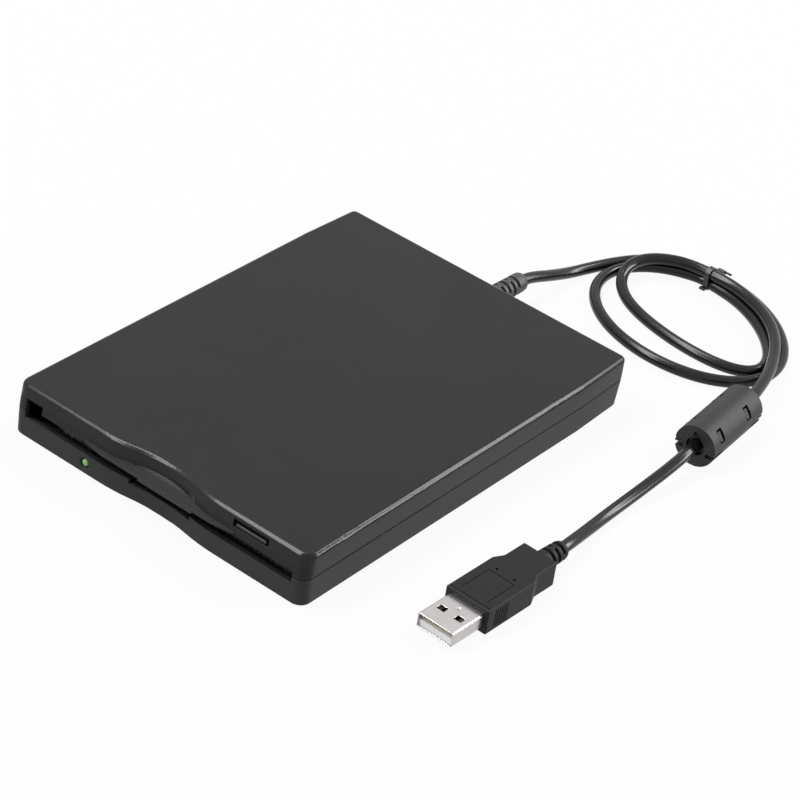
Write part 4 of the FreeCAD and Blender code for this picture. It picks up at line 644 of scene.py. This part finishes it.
def outer_edges(bm):
    """The sharp edges that show on the outside of the case."""
    chosen = []
    for edge in bm.edges:
        if len(edge.link_faces) != 2 or edge.calc_face_angle(0) < OUTSIDE_ANGLE:
            continue
        places = [vertex.co / MM for vertex in edge.verts]
        outside = all(abs(p.x) > OUTSIDE_X or p.y < OUTSIDE_FRONT or p.y > OUTSIDE_REAR
                      for p in places)
        if outside and edge.calc_length() > SHORTEST_EDGE * MM:
            chosen.append(edge)
    return chosen


def make_case_half(name, node, seam_shift, cutters=()):
    """A half of the case, with its outer edges broken and a fine open line at the seam."""
    bm = cad_shape(node)
    for vertex in bm.verts:
        if abs(vertex.co.z - SEAM * MM) < 1e-6:
            vertex.co.z += seam_shift * MM
    for cutter in cutters:
        bm = cut_out(bm, cutter)
    bmesh.ops.bevel(bm, geom=outer_edges(bm), offset=EDGE_RADIUS * MM, segments=2, profile=0.5,
                    affect="EDGES", clamp_overlap=False)
    finished(name, bm, "case_plastic", replaced=(node,))


make_case_half("cover_shell", "top_cover", 0.12)
make_case_half("case_shell", "bottom_case", -0.06, (light_well(), lip_groove()))


def make_feet():
    bm = bmesh.new()
    low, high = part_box("rubber_feet")
    radius = 4.0
    profile = [(0, 0), (0, 3.3), (0.08, 3.65), (0.3, 3.92), (0.55, radius), (1.5, radius), (1.5, 0)]
    upright = Matrix.Rotation(math.radians(90), 4, "X")
    for x in (low.x / MM + radius, high.x / MM - radius):
        for y in (low.y / MM + radius, high.y / MM - radius):
            foot = bmesh.new()
            turned(foot, profile)
            bmesh.ops.transform(foot, verts=foot.verts,
                                matrix=Matrix.Translation((x * MM, y * MM, 0)) @ upright)
            add_shape(bm, foot)
    finished("foot_pads", bm, "foot_rubber", replaced=("rubber_feet",))


make_feet()


def make_button():
    """A key whose lower edge reaches forward as a lip for the finger, on a narrow stem."""
    low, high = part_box("eject_button")
    x = (low.x / MM, high.x / MM)
    z = (low.z / MM, high.z / MM)
    lip_front = low.y / MM + 0.55
    face = low.y / MM + 2.3
    key_length = 8.0
    stem_half = 2.75
    middle = ((x[0] + x[1]) / 2, (z[0] + z[1]) / 2)
    bm = bmesh.new()
    outline = rounded_outline((x[1] - x[0]) / 2, (z[1] - z[0]) / 2, 0.25, 4, middle)
    prism(bm, outline, face, face + key_length, axis=1)
    block(bm, (middle[0] - stem_half, middle[0] + stem_half),
          (face + key_length - 0.1, high.y / MM), (z[0] + 0.15, z[1] - 0.15))
    block(bm, (x[0] + 0.35, x[1] - 0.35), (lip_front, face + 0.5), (z[0] + 0.02, z[0] + 0.95))
    finished("eject_key", bm, "button_plastic", "slide", ("eject_button",), edge=0.22, segments=3)


make_button()


def make_light():
    low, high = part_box("status_led")
    front = low.y / MM + 0.15
    dome = [(0, 0), (0.02, 0.35), (0.09, 0.65), (0.22, 0.9), (0.42, 1.08), (0.62, 1.16),
            (3.1, 1.16), (3.1, 0)]
    bm = bmesh.new()
    turned(bm, [(front + along, radius) for along, radius in dome], 48)
    bmesh.ops.translate(bm, vec=light_axis(), verts=bm.verts)
    finished("light_dome", bm, "light_lens", replaced=("status_led",))


make_light()


# ---------------------------------------------------------------- strain reliefs
def slotted(first, pitch, count, width, depth, turned_by=0.0):
    """How much each groove of a strain relief takes off. The grooves leave two bridges
    each, a quarter turn on from those of the groove before."""
    def reach(y, angle):
        for n in range(count):
            across = abs(y - (first + pitch * n)) / (width / 2)
            if across < 1.15:
                edge = 1 - eased(across, 0.75, 1.15)
                around = abs(math.cos(angle + turned_by + n * math.pi / 2))
                return depth * edge * eased(around, 0.20, 0.36)
        return 0.0
    return reach


def fine_profile(points, step=0.12):
    """The profile with points added, so that grooves can be sunk into it."""
    profile = [points[0]]
    for (y0, r0), (y1, r1) in zip(points, points[1:]):
        count = max(1, math.ceil(abs(y1 - y0) / step))
        profile += [(y0 + (y1 - y0) * n / count, r0 + (r1 - r0) * n / count)
                    for n in range(1, count + 1)]
    return profile


def make_strain_relief():
    """The sleeve in the rear wall: flange, neck, grooved cone, and the hole for the cord."""
    points = [(68.1, 1.6), (68.1, 5.0), (69.2, 5.0), (69.2, 3.7), (73.0, 3.6), (87.6, 3.1),
              (90.6, 3.1), (91.7, 2.95), (92.15, 2.7), (92.3, 2.3), (92.3, 1.82), (91.0, 1.8)]
    grooves = slotted(first=75.9, pitch=2.35, count=6, width=1.0, depth=1.05)
    bm = bmesh.new()
    turned(bm, fine_profile(points), 80, reach=grooves)
    moved(bm, (-1.0, 0, 7.6))
    finished("relief_sleeve", bm, "relief_pvc", replaced=("strain_relief",))


make_strain_relief()


def make_boot():
    points = [(42.5, 1.9), (42.5, 2.9), (43.5, 3.15), (45.4, 3.1), (51.9, 2.85), (52.7, 2.75),
              (53.3, 2.5), (53.5, 2.15), (53.5, 1.82), (52.5, 1.8)]
    grooves = slotted(first=46.65, pitch=2.3, count=3, width=1.05, depth=0.95,
                      turned_by=math.radians(90))
    bm = bmesh.new()
    turned(bm, fine_profile(points), 80, reach=grooves)
    moved(bm, PLUG_PLACE, PLUG_TURN)
    finished("boot_sleeve", bm, "plug_plastic", replaced=("plug_boot",))


make_boot()


# ---------------------------------------------------------------- plug
GRIP_FRONT = 12.5
GRIP_HALF = 7.4
GRIP_HALF_HEIGHT = 3.9
# a line behind the front collar, and three sides of the outline of a blank panel: x, y
GRIP_LINES = (
    ((-6.9, 6.9), (13.6, 13.85)),
    ((-4.5, -4.25), (15.4, 26.8)),
    ((4.25, 4.5), (15.4, 26.8)),
    ((-4.25, 4.25), (26.5, 26.8)),
)


def make_grip():
    neck, shoulder, neck_front, rear = 5.8, 31.8, 35.0, 43.5
    bm = bmesh.new()
    prism(bm, [(-GRIP_HALF, GRIP_FRONT), (GRIP_HALF, GRIP_FRONT), (GRIP_HALF, shoulder),
               (neck, neck_front), (neck, rear), (-neck, rear), (-neck, neck_front),
               (-GRIP_HALF, shoulder)], -GRIP_HALF_HEIGHT, GRIP_HALF_HEIGHT)
    bmesh.ops.recalc_face_normals(bm, faces=bm.faces)
    bmesh.ops.bevel(bm, geom=list(bm.edges), offset=0.5 * MM, segments=4, profile=0.5,
                    affect="EDGES", clamp_overlap=True)
    # the mouth that takes the metal shell
    bm = cut_block(bm, (-6.0, 6.0), (11.0, 18.5), (-2.25, 2.25))
    # seven grooves for the fingers in each side
    for side in (-1, 1):
        x = sorted((side * (GRIP_HALF - 0.32), side * (GRIP_HALF + 1)))
        for n in range(7):
            y = 15.7 + 0.82 * n
            bm = cut_block(bm, x, (y, y + 0.4), (-2.9, 2.9))
    for side in (-1, 1):
        for x, y in GRIP_LINES:
            bm = cut_block(bm, x, y, sorted((side * 3.72, side * 5.0)))
    for x in (-3.0, 3.0):
        bm = cut_prism(bm, circle((x, 28.4), 0.42, 16), 3.45, 5.0)
    moved(bm, PLUG_PLACE, PLUG_TURN)
    finished("grip_body", bm, "plug_plastic", replaced=("plug_grip",))


make_grip()


def make_shell():
    """A folded sheet tube with two latch holes above and below, and a dent in its top."""
    length = 18.5
    bm = bmesh.new()
    prism(bm, rounded_outline(6.0, 2.25, 0.55, 6), 0, length, axis=1)
    bm = cut_prism(bm, rounded_outline(5.7, 1.95, 0.3, 5), -1, length + 1, axis=1)
    holes = bmesh.new()
    for x in (-2.9, 2.9):
        block(holes, (x - 1.25, x + 1.25), (5.1, 7.2), (-4, 4))
    bm = cut_out(bm, holes)
    dent = bmesh.new()
    bmesh.ops.create_icosphere(dent, subdivisions=4, radius=2.0 * MM,
                               matrix=Matrix.Translation(Vector((0, 9.3, 4.1)) * MM))
    bm = cut_out(bm, dent)
    moved(bm, PLUG_PLACE, PLUG_TURN)
    finished("metal_shell", bm, "plug_steel", replaced=("plug_shell",), edge=0.05)


make_shell()


# ---------------------------------------------------------------- ferrite choke
CHOKE_RADIUS = 6.5
CHOKE_LENGTH = 28.5
CHOKE_WALL = 1.2
CHOKE_END_WALL = 2.0
CHOKE_HOLE = 2.0
SLIT_LEVELS = (-2.2, -0.9)
# where the catches sit: their angle about the long axis from +X, and their place along it
CATCH_ANGLES = (36, 144)
CATCH_PLACES = (5.0, 20.7)


def both_ends(depth):
    """The ranges along the choke that reach a depth into either end."""
    return (-1, depth), (CHOKE_LENGTH - depth, CHOKE_LENGTH + 1)


def round_axis(bm, degrees):
    """Turns a shape about the long axis of the choke, from straight up to an angle from +X."""
    bmesh.ops.rotate(bm, cent=(0, 0, 0), verts=bm.verts,
                     matrix=Matrix.Rotation(math.radians(90 - degrees), 3, "Y"))
    return bm


def choke_block(start, gap):
    """Half of the round body, with soft rims, a pocket for the ferrite and a hole for the cord."""
    bm = bmesh.new()
    outline = [(u, v + gap) for u, v in arc((0, 0), CHOKE_RADIUS, start, start + 180, 60)]
    prism(bm, outline, 0, CHOKE_LENGTH, axis=1)
    rim = [edge for edge in bm.edges if abs(edge.verts[0].co.y - edge.verts[1].co.y) < 1e-6
           and edge.calc_length() < 2 * MM]
    bmesh.ops.bevel(bm, geom=rim, offset=0.8 * MM, segments=4, profile=0.5, affect="EDGES",
                    clamp_overlap=False)
    bm = cut_prism(bm, circle((0, 0), CHOKE_RADIUS - CHOKE_WALL, 60),
                   CHOKE_END_WALL, CHOKE_LENGTH - CHOKE_END_WALL, axis=1)
    return cut_prism(bm, circle((0, 0), CHOKE_HOLE, 24), -2, CHOKE_LENGTH + 2, axis=1)


def make_upper_half():
    bm = choke_block(0, 0.06)
    # each end is dished round the cord, with a notch above the dish
    for y in both_ends(1.3):
        bm = cut_prism(bm, circle((0, 0), 2.9, 24), *y, axis=1)
        bm = cut_prism(bm, [(-1.5, 1.0), (1.5, 1.0), (1.0, 4.6), (-1.0, 4.6)], *y, axis=1)
    # the windows that the catches of the other half show in
    for middle in CATCH_ANGLES:
        for along in CATCH_PLACES:
            window = bmesh.new()
            block(window, (-2.1, 2.1), (along - 1.45, along + 1.15), (5.2, 7.5))
            bm = cut_out(bm, round_axis(window, middle))
    moved(bm, CHOKE_PLACE, CHOKE_TURN)
    finished("choke_upper_half", bm, "choke_plastic", replaced=("choke_upper_cover",))


def make_lower_half():
    bm = choke_block(180, -0.06)
    for y in both_ends(1.3):
        bm = cut_prism(bm, circle((0, 0), 2.9, 24), *y, axis=1)
    # finger slits below the line between the halves, which turn in across the end faces
    for inner, depth in ((5.3, 5.8), (3.7, 0.9)):
        for side in (-1, 1):
            for y in both_ends(depth):
                bm = cut_block(bm, sorted((side * inner, side * 8)), y, SLIT_LEVELS)
    # the catches, sloping up towards their edge
    for middle in CATCH_ANGLES:
        for along in CATCH_PLACES:
            catch = bmesh.new()
            prism(catch, [(along - 1.15, 5.2), (along + 0.2, 5.2), (along + 0.2, 6.3),
                          (along - 0.2, 6.5), (along - 1.15, 6.42)], -1.5, 1.5, axis=0)
            add_shape(bm, round_axis(catch, middle))
    moved(bm, CHOKE_PLACE, CHOKE_TURN)
    finished("choke_lower_half", bm, "choke_plastic", replaced=("choke_lower_cover",))


make_upper_half()
make_lower_half()


# ---------------------------------------------------------------- cable tie
TIE_X = 33.3
TIE_HALF_WIDTH = 0.85
TIE_GAP = 0.03
TIE_OUTSIDE = 0.55


def cord_line():
    """The middle line of the cord, as points along its spline."""
    plain = bpy.data.objects.new("cord_line", spline_curve("cord_line", cord_route(), 0.0))
    scene.collection.objects.link(plain)
    mesh = shaped(plain)
    points = [vertex.co / MM for vertex in mesh.vertices]
    bpy.data.meshes.remove(mesh)
    data = plain.data
    bpy.data.objects.remove(plain)
    bpy.data.curves.remove(data)
    return points


def strands_at(x, least_y=140):
    """Where the cord passes the plane at x, behind least_y."""
    found = []
    line = cord_line()
    for one, two in zip(line, line[1:]):
        if (one.x - x) * (two.x - x) < 0 and one.y > least_y:
            found.append(one.lerp(two, (x - one.x) / (two.x - one.x)))
    return found


def hull(points):
    """The convex outline of points in a plane, anticlockwise."""
    ordered = sorted(points)

    def half(chain):
        kept = []
        for point in chain:
            while len(kept) > 1 and ((kept[-1][0] - kept[-2][0]) * (point[1] - kept[-2][1])
                                     - (kept[-1][1] - kept[-2][1]) * (point[0] - kept[-2][0])) <= 0:
                kept.pop()
            kept.append(point)
        return kept[:-1]

    return half(ordered) + half(ordered[::-1])


def shifted(outline, place):
    return [(u + place[0], v + place[1]) for u, v in outline]


def make_tie():
    """A strap round the strands, with its lock and its cut end on the outside of the bend."""
    strands = strands_at(TIE_X)
    rings = []
    for grow in (TIE_GAP, TIE_OUTSIDE):
        cloud = []
        for strand in strands:
            cloud += circle((strand.y, strand.z), CORD_RADIUS + grow, 48)
        # the strap lies flat where it meets the floor
        lowest = 0.02 + (TIE_OUTSIDE - grow) * 0.3
        rings.append([(u, max(v, lowest)) for u, v in hull(cloud)])
    inside, outside = rings
    bm = bmesh.new()
    prism(bm, outside, TIE_X - TIE_HALF_WIDTH, TIE_X + TIE_HALF_WIDTH, axis=0)
    bm = cut_prism(bm, inside, TIE_X - 3, TIE_X + 3, axis=0)
    lock = shifted([(-1.9, 1.0), (-0.3, 0.1), (0.75, 1.0), (0.35, 2.0), (-0.9, 2.5), (-1.9, 2.2)],
                   max(outside))
    prism(bm, lock, TIE_X - 1.2, TIE_X + 1.2, axis=0)
    tail = shifted([(-0.2, 1.3), (0.5, 1.4), (0.45, 1.8), (-0.25, 1.75)], max(outside))
    prism(bm, tail, TIE_X + 1.1, TIE_X + 3.4, axis=0)
    fold = shifted([(-0.5, 0.25), (0.8, 0.1), (0.8, 0.9), (-0.4, 1.0)], (min(outside)[0], 0.0))
    prism(bm, fold, TIE_X - 1.5, TIE_X + 0.4, axis=0)
    finished("tie_strap", bm, "tie_nylon", replaced=("cable_tie",), edge=0.1)


make_tie()


# ---------------------------------------------------------------- springs
def wire_mesh(bm, points, radius, count=8):
    """Drawn wire along a line of points in millimetres."""
    rings = []
    side = None
    for n, point in enumerate(points):
        ahead = (points[min(n + 1, len(points) - 1)] - points[max(n - 1, 0)]).normalized()
        side = ahead.orthogonal() if side is None else side - ahead * side.dot(ahead)
        side.normalize()
        up = ahead.cross(side)
        rings.append([bm.verts.new((point + (side * math.cos(math.tau * k / count)
                                             + up * math.sin(math.tau * k / count)) * radius) * MM)
                      for k in range(count)])
    for first, second in zip(rings, rings[1:]):
        for k in range(count):
            after = (k + 1) % count
            bm.faces.new((first[k], first[after], second[after], second[k]))
    bm.faces.new(rings[0][::-1])
    bm.faces.new(rings[-1])


def make_springs():
    """Two wire springs, each with a mesh of its own."""
    low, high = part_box("eject_springs")
    start, end = low.y / MM + 0.2, high.y / MM - 0.2
    middle = (low.z + high.z) / 2 / MM
    turns, steps, radius, wire = 19, 16, 0.8, 0.17
    for word, x in (("left", low.x / MM + 1.0), ("right", high.x / MM - 1.0)):
        line = []
        for n in range(turns * steps + 1):
            angle = math.tau * n / steps
            line.append(Vector((x + radius * math.cos(angle),
                                start + (end - start) * n / (turns * steps),
                                middle + radius * math.sin(angle))))
        bm = bmesh.new()
        wire_mesh(bm, line, wire)
        piece = finished(f"spring_{word}", bm, "spring_steel", replaced=("eject_springs",))
        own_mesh(piece)


make_springs()


# ---------------------------------------------------------------- light and floor
FLOOR_HALF = 6.0
FLOOR_DROP = 0.00002
FLOOR_GLOW = 0.93
DIM_WORLD = 0.38


def straight_or_mirrored(tree):
    """1 for the rays of the camera and for those that metal or glass sends on, else 0."""
    path = tree.nodes.new("ShaderNodeLightPath")
    seen_rays = path.outputs["Is Camera Ray"]
    for word in ("Is Glossy Ray", "Is Transmission Ray"):
        either = tree.nodes.new("ShaderNodeMath")
        either.operation = "MAXIMUM"
        tree.links.new(seen_rays, either.inputs[0])
        tree.links.new(path.outputs[word], either.inputs[1])
        seen_rays = either.outputs[0]
    return seen_rays


def make_floor():
    """A white floor that still takes the object's shadow."""
    mesh = bpy.data.meshes.new("floor")
    corners = [(-FLOOR_HALF, -FLOOR_HALF, 0), (FLOOR_HALF, -FLOOR_HALF, 0),
               (FLOOR_HALF, FLOOR_HALF, 0), (-FLOOR_HALF, FLOOR_HALF, 0)]
    mesh.from_pydata(corners, [], [(0, 1, 2, 3)])
    floor = bpy.data.objects.new("floor", mesh)
    scene.collection.objects.link(floor)
    floor.location.z = -FLOOR_DROP
    material = bpy.data.materials.new("floor_white")
    material.use_nodes = True
    tree = material.node_tree
    shader = tree.nodes["Principled BSDF"]
    shader.inputs["Base Color"].default_value = (*grey(0.55), 1)
    shader.inputs["Roughness"].default_value = 0.9
    shader.inputs["Specular IOR Level"].default_value = 0.1
    glow = tree.nodes.new("ShaderNodeEmission")
    share = tree.nodes.new("ShaderNodeMath")
    share.operation = "MULTIPLY"
    share.inputs[1].default_value = FLOOR_GLOW
    mix = tree.nodes.new("ShaderNodeMixShader")
    links = tree.links
    links.new(straight_or_mirrored(tree), share.inputs[0])
    links.new(share.outputs[0], mix.inputs["Fac"])
    links.new(shader.outputs[0], mix.inputs[1])
    links.new(glow.outputs[0], mix.inputs[2])
    links.new(mix.outputs[0], tree.nodes["Material Output"].inputs["Surface"])
    mesh.materials.append(material)


def make_world():
    """White where it is seen or mirrored, and dimmer as a light on the object."""
    world = bpy.data.worlds.new("studio")
    world.use_nodes = True
    tree = world.node_tree
    sky = tree.nodes["Background"]
    sky.inputs["Color"].default_value = (1, 1, 1, 1)
    strength = tree.nodes.new("ShaderNodeMapRange")
    strength.inputs["To Min"].default_value = DIM_WORLD
    strength.inputs["To Max"].default_value = 1.0
    tree.links.new(straight_or_mirrored(tree), strength.inputs["Value"])
    tree.links.new(strength.outputs["Result"], sky.inputs["Strength"])
    bpy.context.scene.world = world


def make_lamp(name, direction, distance, size, watts, along):
    """A soft box that faces the object, its long side along the given direction."""
    data = bpy.data.lights.new(name, "AREA")
    data.shape = "RECTANGLE"
    data.size, data.size_y = size
    data.energy = watts
    lamp = bpy.data.objects.new(name, data)
    back = Vector(direction).normalized()
    long_side = (Vector(along) - back * back.dot(Vector(along))).normalized()
    turn = Matrix((long_side, back.cross(long_side), back)).transposed().to_4x4()
    lamp.matrix_world = Matrix.Translation(back * distance) @ turn
    scene.collection.objects.link(lamp)


make_floor()
make_world()
make_lamp("front_soft_box", direction=(-0.47, -0.34, 0.82), distance=1.6, size=(2.6, 0.26),
          watts=36, along=(0, -1, -0.45))
make_lamp("rear_soft_box", direction=(0.50, 0.68, 0.46), distance=1.6, size=(1.8, 0.28),
          watts=27, along=(1, 0, -0.9))

bpy.context.scene.view_settings.view_transform = "Standard"
